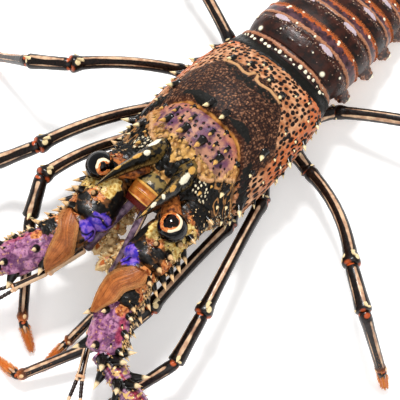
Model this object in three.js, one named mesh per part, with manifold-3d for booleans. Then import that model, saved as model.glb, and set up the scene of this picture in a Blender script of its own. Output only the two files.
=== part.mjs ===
import * as THREE from 'three';
import { mergeVertices } from 'three/addons/utils/BufferGeometryUtils.js';
import Module from 'manifold-3d';

// A pronghorn spiny lobster at life size, in millimetres. Its head points to -Y, its left side to +X,
// and it stands on the floor at z = 0. In the body's own places y = 0 is the front edge of the
// carapace between the horns, and y = 100 is the carapace's rear edge.

const wasm = await Module();
wasm.setup();

// Gap between touching pieces, and how deep a spine or a piece is rooted in what carries it
const GAP = 0.3;
const ROOTED = 1.6;
const UP = new THREE.Vector3(0, 0, 1);
const LEFT = 1;
const RIGHT = -1;

// The middle of the whole animal's box, which stands over the model's origin
const MODEL_CENTRE = new THREE.Vector3(8, 40.3, 0);

// Colours read from the animal
const SHELL_BROWN = 0x4a2c24;
const HORN_BLACK = 0x1d1a18;
const PLATE_ORANGE = 0x9a5426;
const EYE_BLACK = 0x0a0a0c;
const ANTENNA_PINK = 0x9c6a86;
const ANTENNA_DARK = 0x2b2420;
const MOUTH_BEIGE = 0xb99a68;
const TAIL_PURPLE = 0x3d2631;
const LEG_DARK = 0x2a1a16;
const LEG_ORANGE = 0xc2591c;

const point = (x, y, z) => new THREE.Vector3(x, y, z);

// A smooth curve through [place, value] keys, level with its neighbours' slope at each key.
function keyed(keys) {
  const slope = (i) => {
    const before = keys[Math.max(i - 1, 0)];
    const after = keys[Math.min(i + 1, keys.length - 1)];
    return (after[1] - before[1]) / (after[0] - before[0]);
  };
  return (place) => {
    let i = 0;
    while (i < keys.length - 2 && place > keys[i + 1][0]) {
      i += 1;
    }
    const span = keys[i + 1][0] - keys[i][0];
    const t = THREE.MathUtils.clamp((place - keys[i][0]) / span, 0, 1);
    const rise = t * t * (3 - 2 * t);
    const ends = keys[i][1] * (1 - rise) + keys[i + 1][1] * rise;
    const bulge = slope(i) * t * (1 - t) * (1 - t) - slope(i + 1) * t * t * (1 - t);
    return ends + bulge * span;
  };
}

// A seeded random number from 0 to 1, so that every run grows the same animal.
let seed = 20;
function random() {
  seed = (seed * 16807) % 2147483647;
  return seed / 2147483647;
}

// A closed mesh through rings of equal length. A ring of one point is a tip, and the others at the
// ends are capped. The faces are turned outwards.
function loft(rings) {
  const points = [];
  const faces = [];
  const firsts = rings.map((ring) => {
    const first = points.length;
    points.push(...ring);
    return first;
  });
  const cap = (ring, first, turned) => {
    if (ring.length === 1) {
      return;
    }
    const middle = points.length;
    const sum = ring.reduce((total, corner) => total.add(corner), point(0, 0, 0));
    points.push(sum.divideScalar(ring.length));
    ring.forEach((corner, i) => {
      const next = (i + 1) % ring.length;
      const face = [middle, first + i, first + next];
      faces.push(turned ? face.reverse() : face);
    });
  };
  for (let r = 0; r < rings.length - 1; r += 1) {
    const count = Math.max(rings[r].length, rings[r + 1].length);
    for (let i = 0; i < count; i += 1) {
      const next = (i + 1) % count;
      const near = rings[r].length === 1 ? [firsts[r], firsts[r]] : [firsts[r] + i, firsts[r] + next];
      const far = rings[r + 1].length === 1
        ? [firsts[r + 1], firsts[r + 1]]
        : [firsts[r + 1] + i, firsts[r + 1] + next];
      if (near[0] !== near[1]) {
        faces.push([near[0], near[1], far[1]]);
      }
      if (far[0] !== far[1]) {
        faces.push([near[0], far[1], far[0]]);
      }
    }
  }
  cap(rings[0], firsts[0], true);
  cap(rings[rings.length - 1], firsts[rings.length - 1], false);
  return facingOut(points, faces);
}

function facingOut(points, faces) {
  const volume = faces.reduce((sum, [a, b, c]) => {
    return sum + points[a].dot(points[b].clone().cross(points[c]));
  }, 0);
  const turned = volume < 0 ? faces.map((face) => [face[0], face[2], face[1]]) : faces;
  const geometry = new THREE.BufferGeometry();
  geometry.setFromPoints(points);
  geometry.setIndex(turned.flat());
  return geometry;
}

// A tube through stations of { at, wide, high }, half sizes across and up. A station with no width is
// a pointed end.
function tube(stations, sides) {
  const rings = stations.map((station, i) => {
    if (station.wide === 0) {
      return [station.at];
    }
    const before = stations[Math.max(i - 1, 0)].at;
    const after = stations[Math.min(i + 1, stations.length - 1)].at;
    const along = after.clone().sub(before).normalize();
    const across = (station.across ?? UP).clone().cross(along).normalize();
    const over = along.clone().cross(across);
    return Array.from({ length: sides }, (_, k) => {
      const angle = (2 * Math.PI * (k + 0.5)) / sides;
      return station.at.clone()
        .addScaledVector(across, station.wide * Math.cos(angle))
        .addScaledVector(over, (station.high ?? station.wide) * Math.sin(angle));
    });
  });
  return loft(rings);
}

// A spine: a cone rooted in the surface that it grows from. Spines under the small length have fewer
// sides.
const SMALL_SPINE = 4.5;

function spine(root, direction, length, radius, sides = length < SMALL_SPINE ? 4 : 5) {
  const way = direction.clone().normalize();
  const across = Math.abs(way.z) > 0.9 ? point(1, 0, 0) : UP;
  const start = root.clone().addScaledVector(way, -ROOTED);
  const tip = root.clone().addScaledVector(way, length);
  return tube([
    { at: start, wide: radius, across },
    { at: tip, wide: 0 },
  ], sides);
}

function solidOf(geometry) {
  const bare = geometry.clone();
  bare.deleteAttribute('normal');
  bare.deleteAttribute('uv');
  const merged = mergeVertices(bare, 1e-4);
  const vertProperties = new Float32Array(merged.attributes.position.array);
  const triVerts = new Uint32Array(merged.index.array);
  return new wasm.Manifold(new wasm.Mesh({ numProp: 3, vertProperties, triVerts }));
}

function fuse(geometries) {
  return geometries.map(solidOf).reduce((sum, piece) => sum.add(piece));
}

// The largest closed surface of a solid, as a geometry.
function surfaceOf(solid) {
  const largest = solid.decompose().reduce((a, b) => (b.volume() > a.volume() ? b : a));
  const mesh = largest.getMesh();
  const geometry = new THREE.BufferGeometry();
  const places = new Float32Array(mesh.triVerts.length * 3);
  mesh.triVerts.forEach((vertex, i) => {
    for (let axis = 0; axis < 3; axis += 1) {
      places[i * 3 + axis] = mesh.vertProperties[vertex * mesh.numProp + axis];
    }
  });
  geometry.setAttribute('position', new THREE.BufferAttribute(places, 3));
  return mergeVertices(geometry, 1e-4);
}

// The room that a piece needs: its surface moved out by the gap, and the piece itself.
function roomOf(geometry) {
  const grown = geometry.clone();
  grown.computeVertexNormals();
  const places = grown.attributes.position;
  const normals = grown.attributes.normal;
  for (let i = 0; i < places.count; i += 1) {
    places.setXYZ(
      i,
      places.getX(i) + normals.getX(i) * GAP,
      places.getY(i) + normals.getY(i) * GAP,
      places.getZ(i) + normals.getZ(i) * GAP,
    );
  }
  return solidOf(grown).add(solidOf(geometry));
}

const lobster = new THREE.Group();
lobster.name = 'spiny_lobster';
const placed = [];

// Adds a node, cut clear of every node that stands before it and flat where it meets the floor.
const FLOOR_DEPTH = 20;
const FLOOR_SIZE = 1200;
const floor = new THREE.BoxGeometry(FLOOR_SIZE, FLOOR_SIZE, FLOOR_DEPTH);
floor.translate(0, 0, -FLOOR_DEPTH / 2);
const ground = solidOf(floor);

function addNode(name, geometries, colour, roughness = 0.45) {
  let solid = fuse(geometries);
  const raw = surfaceOf(solid);
  raw.computeBoundingBox();
  placed.filter((other) => other.box.intersectsBox(raw.boundingBox)).forEach((other) => {
    solid = solid.subtract(other.room);
  });
  if (raw.boundingBox.min.z < 0) {
    solid = solid.subtract(ground);
  }
  const geometry = surfaceOf(solid);
  geometry.computeBoundingBox();
  placed.push({ name, room: roomOf(geometry), box: geometry.boundingBox.clone().expandByScalar(1) });
  geometry.computeVertexNormals();
  const finish = new THREE.MeshStandardMaterial({ color: colour, roughness, metalness: 0 });
  const mesh = new THREE.Mesh(geometry, finish);
  mesh.name = name;
  lobster.add(mesh);
}

const sideName = (side) => (side === LEFT ? 'left' : 'right');

// A ring of shell: a rounded arch above its widest level and a flatter one below.
function shellPoint(angle, ring) {
  const s = Math.sin(angle);
  const c = Math.cos(angle);
  const roundness = 2 / (c > 0 ? ring.crown : ring.keel);
  const height = c > 0 ? ring.top - ring.waist : ring.waist - ring.bottom;
  return point(
    ring.middle + ring.width * Math.sign(s) * Math.abs(s) ** roundness,
    ring.y,
    ring.waist + height * Math.sign(c) * Math.abs(c) ** roundness,
  );
}

// Carapace
const CARAPACE_SIDES = 24;
const CERVICAL_GROOVE = 43;
const GROOVE_DEPTH = 2.6;
const GROOVE_REACH = 2.2;
const REAR_GROOVE = 93;
const REAR_GROOVE_DEPTH = 1.1;
const REAR_GROOVE_REACH = 1.6;
const carapaceWidth = keyed([
  [0, 29], [10, 33.5], [22, 36], [43, 39.5], [60, 41.2], [76, 40], [91, 37], [100, 34],
]);
const carapaceTop = keyed([[0, 50], [10, 55.5], [25, 61.5], [41, 63.5], [60, 64.5], [80, 60], [100, 51.5]]);
const carapaceWaist = keyed([[0, 34], [22, 31.5], [60, 32], [100, 33]]);
const carapaceCrown = keyed([[0, 1.75], [43, 1.78], [70, 1.9], [100, 1.95]]);
const carapaceBottom = keyed([[0, 27], [20, 22.5], [50, 20], [80, 20], [100, 23]]);
// How far each ring is drawn forward down its sides, so that the cervical groove sweeps forward
const carapaceBend = keyed([[0, 3], [20, 11], [43, 25], [60, 14], [80, 3], [100, -3]]);
const BEND_START = THREE.MathUtils.degToRad(25);
const BEND_END = THREE.MathUtils.degToRad(80);
const GROOVE_END = THREE.MathUtils.degToRad(105);

function carapacePoint(u, angle) {
  const turn = Math.acos(Math.cos(angle));
  const forward = carapaceBend(u) * THREE.MathUtils.smoothstep(turn, BEND_START, BEND_END);
  const cervical = GROOVE_DEPTH * Math.exp(-(((u - CERVICAL_GROOVE) / GROOVE_REACH) ** 2));
  const rear = REAR_GROOVE_DEPTH * Math.exp(-(((u - REAR_GROOVE) / REAR_GROOVE_REACH) ** 2));
  const dip = (cervical + rear) * (1 - THREE.MathUtils.smoothstep(turn, GROOVE_END, GROOVE_END + 0.5));
  return shellPoint(angle, {
    middle: 0,
    y: u - forward,
    width: carapaceWidth(u) - dip,
    top: carapaceTop(u) - dip,
    waist: carapaceWaist(u),
    bottom: carapaceBottom(u),
    crown: carapaceCrown(u),
    keel: 2.8,
  });
}

// The outward direction of a surface given by two numbers.
function outward(surface, u, angle) {
  const step = 0.01;
  const alongU = surface(u + step, angle).sub(surface(u - step, angle));
  const alongAngle = surface(u, angle + step).sub(surface(u, angle - step));
  return alongAngle.cross(alongU).normalize();
}

function shellSpine(u, angle, length, radius, lean) {
  const direction = outward(carapacePoint, u, angle).add(point(0, -lean, 0));
  return spine(carapacePoint(u, angle), direction, length, radius);
}

// Spines that stand out on the carapace, in mirrored pairs: place along it, degrees from its crest,
// length and radius
const CARAPACE_SPINES = [
  [27.7, 11, 8, 2.5], [28.4, 31, 7.5, 2.3], [47, 9, 7.5, 2.2], [56, 51, 7.5, 2.4], [46, 77, 8, 2.5],
  [29, 54, 7, 2.2], [69, 78, 6.5, 2.1], [78, 80, 6, 2], [88, 78, 5, 1.9], [78, 27, 5, 1.9],
  [81, 11, 3.6, 1.6], [2.5, 48, 7.5, 2.2], [3, 66, 8, 2.3], [4, 86, 7, 2.1], [13, 41, 5.5, 1.8],
  [15, 72, 5.5, 1.8], [35, 12, 4.5, 1.6], [35, 30, 4.5, 1.6],
];
// Rows of lesser spines between them, each row at an angle from the crest, clear of the horns
const HORN_ROOT = point(9.5, 15, 51);
const SPINE_ROWS = [22, 58, 94];
const ROW_START = 9;
const ROW_END = 94;
const ROW_STEP = 12;
const ROW_STRAY = 3;
const ROW_STRAY_DEGREES = 7;
const LESSER_LENGTH = 4.4;
const LESSER_RADIUS = 1.6;
const REAR_SHARE = 0.65;
const SPINE_CLEARANCE = 6;
const GROOVE_CLEARANCE = 4;
const HORN_CLEARANCE = 14;
// How far the spines lean forward, on the back and on the flanks
const BACK_LEAN = 1.3;
const FLANK_LEAN = 0.9;
const FLANK_DEGREES = 60;

function carapaceSpines() {
  const grown = [];
  const roots = [];
  const grow = (u, degrees, length, radius) => {
    [LEFT, RIGHT].forEach((side) => {
      const angle = side * THREE.MathUtils.degToRad(degrees);
      const lean = degrees > FLANK_DEGREES ? FLANK_LEAN : BACK_LEAN;
      roots.push(carapacePoint(u, angle));
      grown.push(shellSpine(u, angle, length, radius, lean));
    });
  };
  CARAPACE_SPINES.forEach((row) => grow(...row));
  SPINE_ROWS.forEach((degrees, row) => {
    for (let u = ROW_START + (row % 2) * (ROW_STEP / 2); u < ROW_END; u += ROW_STEP) {
      const place = u + ROW_STRAY * (random() - 0.5);
      const turn = degrees + ROW_STRAY_DEGREES * (random() - 0.5);
      const at = carapacePoint(place, THREE.MathUtils.degToRad(turn));
      const crowded = roots.some((root) => root.distanceTo(at) < SPINE_CLEARANCE)
        || at.distanceTo(HORN_ROOT) < HORN_CLEARANCE;
      if (!crowded && Math.abs(place - CERVICAL_GROOVE) > GROOVE_CLEARANCE) {
        const size = place < CERVICAL_GROOVE ? 1 : REAR_SHARE;
        grow(place, turn, LESSER_LENGTH * size, LESSER_RADIUS * Math.sqrt(size));
      }
    }
  });
  return grown;
}

function carapace() {
  const places = [0, 5, 11, 18, 25, 33, 39, 41.5, 43, 44.5, 47, 53, 60, 68, 76, 84, 90, 93, 95.5, 100];
  const rings = places.map((u) => Array.from({ length: CARAPACE_SIDES }, (_, i) => {
    return carapacePoint(u, (2 * Math.PI * i) / CARAPACE_SIDES);
  }));
  addNode('carapace', [loft(rings), ...carapaceSpines()], SHELL_BROWN);
}

// Breast plate between the legs
const STERNUM_TOP = 23;
const STERNUM_BOTTOM = 13;

function sternum() {
  const middle = (STERNUM_TOP + STERNUM_BOTTOM) / 2;
  const half = (STERNUM_TOP - STERNUM_BOTTOM) / 2;
  addNode('sternum', [tube([
    { at: point(0, 27, middle + 2), wide: 8, high: half - 1 },
    { at: point(0, 45, middle), wide: 14, high: half },
    { at: point(0, 65, middle), wide: 20, high: half },
    { at: point(0, 84, middle), wide: 23, high: half },
    { at: point(0, 97, middle + 2), wide: 20, high: half - 2 },
  ], 10)], MOUTH_BEIGE);
}

// Horns over the eyes
const HORN_RADIUS = 6;

function horn(side) {
  const stations = [
    { at: HORN_ROOT.clone().setX(HORN_ROOT.x * side), wide: HORN_RADIUS, high: HORN_RADIUS + 2 },
    { at: point(11.2 * side, 5, 55), wide: HORN_RADIUS * 0.9, high: HORN_RADIUS },
    { at: point(12.6 * side, -6, 60), wide: HORN_RADIUS * 0.66, high: HORN_RADIUS * 0.74 },
    { at: point(13.5 * side, -17, 65.4), wide: HORN_RADIUS * 0.4, high: HORN_RADIUS * 0.45 },
    { at: point(13.9 * side, -28.7, 70.2), wide: 0 },
  ];
  addNode(`horn_${sideName(side)}`, [tube(stations, 8)], HORN_BLACK, 0.35);
}

// Eyes
const EYE_RADIUS = 7.2;

function eye(side) {
  const root = point(8 * side, 1, 47);
  const centre = point(25.5 * side, -15.5, 55.5);
  const along = centre.clone().sub(root).normalize();
  const at = (back) => centre.clone().addScaledVector(along, -back);
  const globe = new THREE.SphereGeometry(EYE_RADIUS, 10, 7);
  globe.translate(centre.x, centre.y, centre.z);
  const stalk = tube([
    { at: root, wide: 4.6 },
    { at: at(13), wide: 4.8 },
    { at: at(7.5), wide: 6.2 },
    { at: at(2.5), wide: EYE_RADIUS + 0.2 },
    { at: at(0.5), wide: EYE_RADIUS - 0.4 },
  ], 8);
  addNode(`eye_${sideName(side)}`, [globe, stalk], EYE_BLACK, 0.08);
}

// The plate between the antennae that carries the antennules, with its four fused spines
function antennularPlate() {
  const slab = tube([
    { at: point(0, 3, 48), wide: 8, high: 3 },
    { at: point(0, -4, 49.5), wide: 10, high: 3.2 },
    { at: point(0, -11, 48), wide: 10.5, high: 3.2 },
    { at: point(0, -16.5, 45), wide: 8.5, high: 1.8 },
  ], 10);
  const spines = [LEFT, RIGHT].flatMap((side) => [
    spine(point(3.4 * side, -7, 51.5), point(0.25 * side, -1.1, 0.7), 6, 1.7),
    spine(point(3 * side, -13, 49.5), point(0.15 * side, -1.2, 0.5), 5, 1.5),
  ]);
  addNode('antennular_plate', [slab, ...spines], PLATE_ORANGE);
}

// Antennae: a fixed base, three stout articles and a long spiny flagellum, on each side
const ANTENNA_SIDES = 10;
const ANTENNAE = {
  left: {
    joints: [
      point(21, 7, 37), point(22.5, -14, 41), point(25, -39, 44), point(29, -60, 41), point(40, -82, 36),
    ],
    flagellum: [
      point(40, -82, 36), point(50, -84.5, 35.5), point(66, -88.5, 35), point(92, -93, 35),
      point(154, -89, 37), point(230, -64, 40), point(303, -18, 43), point(364, 46, 46),
    ],
  },
  right: {
    joints: [
      point(-21, 7, 37), point(-21, -13, 41), point(-13, -41, 44), point(-20, -61, 41), point(-31.5, -83, 36),
    ],
    flagellum: [
      point(-31.5, -83, 36), point(-40, -97, 35.5), point(-56, -115, 35.5), point(-104, -141, 37),
      point(-176, -143, 40), point(-245, -112, 43), point(-303, -62, 46), point(-348, 2, 49),
    ],
  },
};
// Half widths and half heights of the base and of the three articles, and their rows of spines, each
// at an angle in degrees from the outer side up over the top
const ARTICLES = [
  {
    name: 'base',
    wide: 12.5,
    high: 10.5,
    rows: [{ angle: 25, count: 2, length: 7 }],
  },
  {
    name: 'article_1',
    wide: 13,
    high: 10.5,
    rows: [
      { angle: 5, count: 4, length: 9 },
      { angle: 45, count: 3, length: 7.5 },
      { angle: 85, count: 1, length: 6 },
    ],
  },
  {
    name: 'article_2',
    wide: 11.5,
    high: 9,
    rows: [{ angle: 0, count: 3, length: 8 }, { angle: 40, count: 2, length: 6 }],
  },
  {
    name: 'article_3',
    wide: 10.5,
    high: 8.6,
    rows: [
      { angle: -5, count: 4, length: 6 },
      { angle: 35, count: 3, length: 5 },
      { angle: 110, count: 2, length: 5 },
      { angle: 172, count: 2, length: 8 },
    ],
  },
];
const ARTICLE_OVERLAP = 3;
const SPINE_LEAN = 0.7;
const SPINE_RADIUS = 0.75;
const SPINE_TAPER = 0.22;
const ARTICLE_INSET = 0.9;

// Spines in rows along a limb. At a share of its length, the place gives the limb's middle, the ways
// along, out and up, and its half sizes.
function spineRow(place, side, { angle, count, length, shrink = 0, spread = 1, from = 0.2, to = 0.9 }) {
  const turn = THREE.MathUtils.degToRad(angle);
  return Array.from({ length: count }, (_, i) => {
    const step = count > 1 ? (i / (count - 1)) ** spread : 0.5;
    const { at, along, across, over, wide, high } = place(from + (to - from) * step);
    const size = length * (1 - shrink * step);
    const out = across.clone().multiplyScalar(side * Math.cos(turn)).addScaledVector(over, Math.sin(turn));
    const root = at.clone()
      .addScaledVector(across, side * wide * Math.cos(turn))
      .addScaledVector(over, high * Math.sin(turn));
    return spine(root, out.addScaledVector(along, SPINE_LEAN), size, SPINE_RADIUS + SPINE_TAPER * size);
  });
}

// The ways across and over a limb that runs along a direction
function frameOf(along) {
  const across = UP.clone().cross(along).normalize();
  return { along, across, over: along.clone().cross(across) };
}

function articleSpines(side, index) {
  const { joints } = ANTENNAE[sideName(side)];
  const { wide, high, rows } = ARTICLES[index];
  const frame = frameOf(joints[index + 1].clone().sub(joints[index]).normalize());
  const place = (share) => ({
    at: joints[index].clone().lerp(joints[index + 1], share),
    wide: wide * ARTICLE_INSET,
    high: high * ARTICLE_INSET,
    ...frame,
  });
  return rows.flatMap((row) => spineRow(place, side, row));
}

function article(side, index) {
  const { joints } = ANTENNAE[sideName(side)];
  const { name, wide, high } = ARTICLES[index];
  const start = joints[index];
  const end = joints[index + 1];
  const along = end.clone().sub(start).normalize();
  const length = end.distanceTo(start);
  const station = (distance, share) => ({
    at: start.clone().addScaledVector(along, distance),
    wide: wide * share,
    high: high * share,
  });
  const body = tube([
    station(-ARTICLE_OVERLAP, 0.66),
    station(length * 0.12, 0.93),
    station(length * 0.7, 1),
    station(length - 1, 0.88),
    station(length + 1, 0.62),
  ], ANTENNA_SIDES);
  const colour = index < 2 ? ANTENNA_DARK : ANTENNA_PINK;
  const flap = index === FLAP_ARTICLE ? [articleFlap(side)] : [];
  addNode(`antenna_${sideName(side)}_${name}`, [body, ...flap, ...articleSpines(side, index)], colour);
}

// The thin flap that lies over the second article and reaches past its inner end
const FLAP_ARTICLE = 2;
const FLAPS = {
  left: { root: point(23.5, -42, 50), tip: point(20.5, -71, 41) },
  right: { root: point(-13.5, -43, 50), tip: point(-8.2, -73, 41) },
};

function articleFlap(side) {
  const { root, tip } = FLAPS[sideName(side)];
  const way = tip.clone().sub(root);
  return blade({
    root,
    heading: Math.atan2(way.x, way.y),
    droop: Math.asin(-way.z / way.length()),
    length: way.length(),
    width: 9,
    thickness: 2,
    rays: 1,
    rows: 3,
    shape: FLAP_SHAPE,
  });
}

// Flagellum
const FLAGELLUM_RADIUS = 6.6;
const FLAGELLUM_TIP_RADIUS = 0.7;
const FLAGELLUM_STEPS = 21;
const FLAGELLUM_LENGTHS = ['near', 'middle', 'far'];

// Space left along a length where two pieces end in facing planes
const JOINT_GAP = 0.5;

function flagellumRadius(t) {
  return FLAGELLUM_TIP_RADIUS + (FLAGELLUM_RADIUS - FLAGELLUM_TIP_RADIUS) * (1 - t) ** 1.25;
}

// Rows of spines on each length of the flagellum, shorter towards its tip
const FLAGELLUM_ROWS = [
  { angles: [5, 62, 118, 175], count: 5, length: 9.5, shrink: 0.6, spread: 1.5 },
  { angles: [20, 160], count: 5, length: 3.6, shrink: 0.3 },
  { angles: [] },
];

function flagellumSpines(route, side, index) {
  const { angles, ...row } = FLAGELLUM_ROWS[index];
  const place = (share) => {
    const t = (index + share) / FLAGELLUM_LENGTHS.length;
    const radius = flagellumRadius(t) * ARTICLE_INSET;
    return { at: route.getPointAt(t), wide: radius, high: radius, ...frameOf(route.getTangentAt(t)) };
  };
  return angles.flatMap((angle, i) => {
    const from = 0.04 + 0.03 * (i % 2);
    return spineRow(place, side, { ...row, angle, from, to: 0.95 });
  });
}

function flagellum(side) {
  const route = new THREE.CatmullRomCurve3(ANTENNAE[sideName(side)].flagellum, false, 'centripetal');
  const steps = FLAGELLUM_STEPS / FLAGELLUM_LENGTHS.length;
  FLAGELLUM_LENGTHS.forEach((length, index) => {
    const stations = Array.from({ length: steps + 1 }, (_, i) => {
      const t = (index * steps + i) / FLAGELLUM_STEPS;
      const shift = index > 0 && i === 0 ? JOINT_GAP / route.getLength() : 0;
      return { at: route.getPointAt(t + shift), wide: flagellumRadius(t) };
    });
    const pieces = [tube(stations, 7), ...flagellumSpines(route, side, index)];
    addNode(`antenna_${sideName(side)}_flagellum_${length}`, pieces, ANTENNA_PINK);
  });
}

// Antennules: three slender articles and two thin whips
const ANTENNULES = {
  left: [point(4, -14, 41), point(14, -50, 32), point(26.8, -80, 25.5), point(39, -99, 28)],
  right: [point(-4, -14, 42), point(-5, -50, 38), point(-11, -72, 36), point(-18.5, -90, 35)],
};
const WHIP_LENGTH = 75;
const WHIP_RADIUS = 1.1;

function antennule(side) {
  const joints = ANTENNULES[sideName(side)];
  const end = joints[joints.length - 1];
  const along = end.clone().sub(joints[joints.length - 2]).normalize();
  const stations = joints.flatMap((joint, i) => {
    const next = joints[i + 1];
    const radius = 2.5 - 0.25 * i;
    if (!next) {
      return [];
    }
    const on = (t) => joint.clone().lerp(next, t);
    return [
      { at: on(0.04), wide: radius * 0.75 },
      { at: on(0.2), wide: radius },
      { at: on(0.92), wide: radius },
    ];
  });
  const across = along.clone().cross(UP).normalize();
  const whips = [LEFT, RIGHT].map((turn) => tube([0, 0.5, 1].map((t) => ({
    at: end.clone()
      .addScaledVector(along, WHIP_LENGTH * t - 2.5 * ROOTED)
      .addScaledVector(across, turn * (1 + 16 * t ** 1.3))
      .addScaledVector(UP, 14 * t ** 2),
    wide: WHIP_RADIUS * (1 - 0.7 * t),
  })), 4));
  addNode(`antennule_${sideName(side)}`, [tube(stations, 6), ...whips], LEG_DARK);
}

// Mouth: the plate before it and a pair of leg-like mouth limbs
function epistome() {
  addNode('epistome', [tube([
    { at: point(0, 22, 27), wide: 9, high: 7 },
    { at: point(0, 8, 29), wide: 12, high: 9 },
    { at: point(0, -3, 32), wide: 12, high: 8 },
    { at: point(0, -7, 34), wide: 9, high: 5 },
  ], 10)], MOUTH_BEIGE);
}

const MAXILLIPEDS = {
  left: [point(8, 28, 20), point(11, 2, 16), point(9.5, -20, 20), point(6, -40, 26), point(4, -53, 28)],
  right: [point(-8, 28, 20), point(-11, 2, 16), point(-9.5, -18, 20), point(-6, -36, 25), point(-3, -47, 26)],
};

function maxilliped(side) {
  const joints = MAXILLIPEDS[sideName(side)];
  const stations = [
    { at: joints[0], wide: 4.2 },
    { at: joints[0].clone().lerp(joints[1], 0.4), wide: 4.6, high: 4 },
    { at: joints[1], wide: 4, high: 3.6 },
    { at: joints[2], wide: 3.4 },
    { at: joints[2].clone().lerp(joints[3], 0.5), wide: 3.2 },
    { at: joints[3], wide: 3.4 },
    { at: joints[4], wide: 0 },
  ];
  const nubs = [0.45, 0.75, 1].map((share, i) => {
    const at = joints[2].clone().lerp(joints[3], share).add(point(0, 0, 2));
    return spine(at, point(-side * (1 - i * 0.5), -0.5, 1), 4.5, 1.7);
  });
  addNode(`maxilliped_${sideName(side)}`, [tube(stations, 7), ...nubs], MOUTH_BEIGE);
}

// Abdomen: six overlapping rings with hooked side plates and swimmerets below
const SEGMENT_EDGES = [99, 107, 131, 152, 171, 187, 200];
const TAIL_SIDES = 18;
const tailMiddle = keyed([[99, 0], [136, -0.5], [165, 0.5], [200, 2]]);
const tailWidth = keyed([[99, 31.5], [112, 33], [124, 33.5], [140, 33], [157, 31], [180, 27], [200, 22]]);
const tailTop = keyed([[99, 51], [117, 55], [136, 52.5], [155, 46.5], [172, 39.5], [200, 27]]);
const tailWaist = keyed([[99, 33], [136, 28], [172, 20], [200, 15.5]]);
const tailBottom = keyed([[99, 25], [136, 19], [172, 12], [200, 9.5]]);

function tailPoint(y, angle, share) {
  const waist = tailWaist(y);
  return shellPoint(angle, {
    middle: tailMiddle(y),
    y,
    width: tailWidth(y) * share,
    top: waist + (tailTop(y) - waist) * share,
    waist,
    bottom: tailBottom(y),
    crown: 2.25,
    keel: 3,
  });
}

// Share of full size along one ring: tucked front edge, swell, cross groove, and raised rear edge
const RING_PROFILE = [[0, 0.94], [0.4, 1], [0.52, 0.968], [0.62, 1], [0.94, 1.012], [1, 0.99]];

function sidePlate(y, side, length) {
  const root = tailPoint(y, side * 0.6 * Math.PI, 0.93);
  const tip = root.clone().add(point(side, 4, -length));
  const flat = point(side, 0, 0);
  return tube([
    { at: root.clone().add(point(-side, -1, 4)), wide: 6.5, high: 2.6, across: flat },
    { at: root.clone().add(point(0.8 * side, 0, -length * 0.35)), wide: 5, high: 2, across: flat },
    { at: root.clone().add(point(1.2 * side, 1.6, -length * 0.7)), wide: 3, high: 1.4, across: flat },
    { at: tip, wide: 0 },
  ], 6);
}

// A flat blade, such as a tail fin, that tapers to its root and may carry raised rays. Both faces are
// split into triangles alike.
const FIN_SHAPE = keyed([[0, 0.42], [0.3, 0.74], [0.75, 1], [1, 0.84]]);
const FLAP_SHAPE = keyed([[0, 0.8], [0.35, 1], [0.7, 0.6], [1, 0.15]]);

function blade({ root, heading, droop, length, width, thickness, rays, rows, bow = 0, shape = FIN_SHAPE }) {
  const level = Math.cos(droop);
  const along = point(Math.sin(heading) * level, Math.cos(heading) * level, -Math.sin(droop));
  const across = along.clone().cross(UP).normalize();
  const over = across.clone().cross(along);
  const columns = 2 * rays;
  const points = [];
  [1, -1].forEach((face) => {
    for (let r = 0; r <= rows; r += 1) {
      for (let c = 0; c <= columns; c += 1) {
        const t = r / rows;
        const u = (2 * c) / columns - 1;
        const ridge = c % 2 === 1 ? 0.5 : 0;
        const half = (thickness / 2) * (1 - 0.35 * t);
        points.push(root.clone()
          .addScaledVector(along, length * t * (1 - 0.16 * u * u * t))
          .addScaledVector(across, width * shape(t) * u)
          .addScaledVector(over, face * half + ridge + bow * (1 - u * u)));
      }
    }
  });
  const rowLength = columns + 1;
  const layer = (rows + 1) * rowLength;
  const faces = [];
  const quad = (a, b, c, d) => {
    faces.push([a, b, c], [a, c, d]);
  };
  for (let r = 0; r < rows; r += 1) {
    for (let c = 0; c < columns; c += 1) {
      const a = r * rowLength + c;
      quad(a, a + 1, a + 1 + rowLength, a + rowLength);
      faces.push([layer + a, layer + a + 1 + rowLength, layer + a + 1]);
      faces.push([layer + a, layer + a + rowLength, layer + a + 1 + rowLength]);
    }
  }
  const rim = [];
  for (let c = 0; c < columns; c += 1) {
    rim.push(c);
  }
  for (let r = 0; r < rows; r += 1) {
    rim.push(r * rowLength + columns);
  }
  for (let c = columns; c > 0; c -= 1) {
    rim.push(rows * rowLength + c);
  }
  for (let r = rows; r > 0; r -= 1) {
    rim.push(r * rowLength);
  }
  rim.forEach((a, i) => {
    const b = rim[(i + 1) % rim.length];
    quad(a, layer + a, layer + b, b);
  });
  return facingOut(points, faces);
}

function swimmeret(y, side) {
  const root = tailPoint(y, side * 0.82 * Math.PI, 1).add(point(0, 0, 2));
  return blade({
    root, heading: 0.15 * side, droop: 0.42, length: 15, width: 5, thickness: 1.4, rays: 1, rows: 2,
  });
}

// Where the side plates and swimmerets stand on a ring, as shares of its length
const PLATE_PLACE = 0.4;
const SWIMMERET_PLACE = 0.3;

function abdomenRing(index) {
  const front = SEGMENT_EDGES[index];
  const rear = SEGMENT_EDGES[index + 1] - JOINT_GAP;
  const start = index === 0 ? front - 2 : front;
  const rings = RING_PROFILE.map(([t, share]) => Array.from({ length: TAIL_SIDES }, (_, i) => {
    return tailPoint(start + (rear - start) * t, (2 * Math.PI * i) / TAIL_SIDES, share);
  }));
  const pieces = [loft(rings)];
  [LEFT, RIGHT].forEach((side) => {
    const middle = front + (rear - front) * PLATE_PLACE;
    if (index > 0 && index < 5) {
      pieces.push(sidePlate(middle, side, 15 - 1.6 * index));
      pieces.push(swimmeret(front + (rear - front) * SWIMMERET_PLACE, side));
    }
  });
  addNode(`abdomen_${index + 1}`, pieces, TAIL_PURPLE);
}

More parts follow.
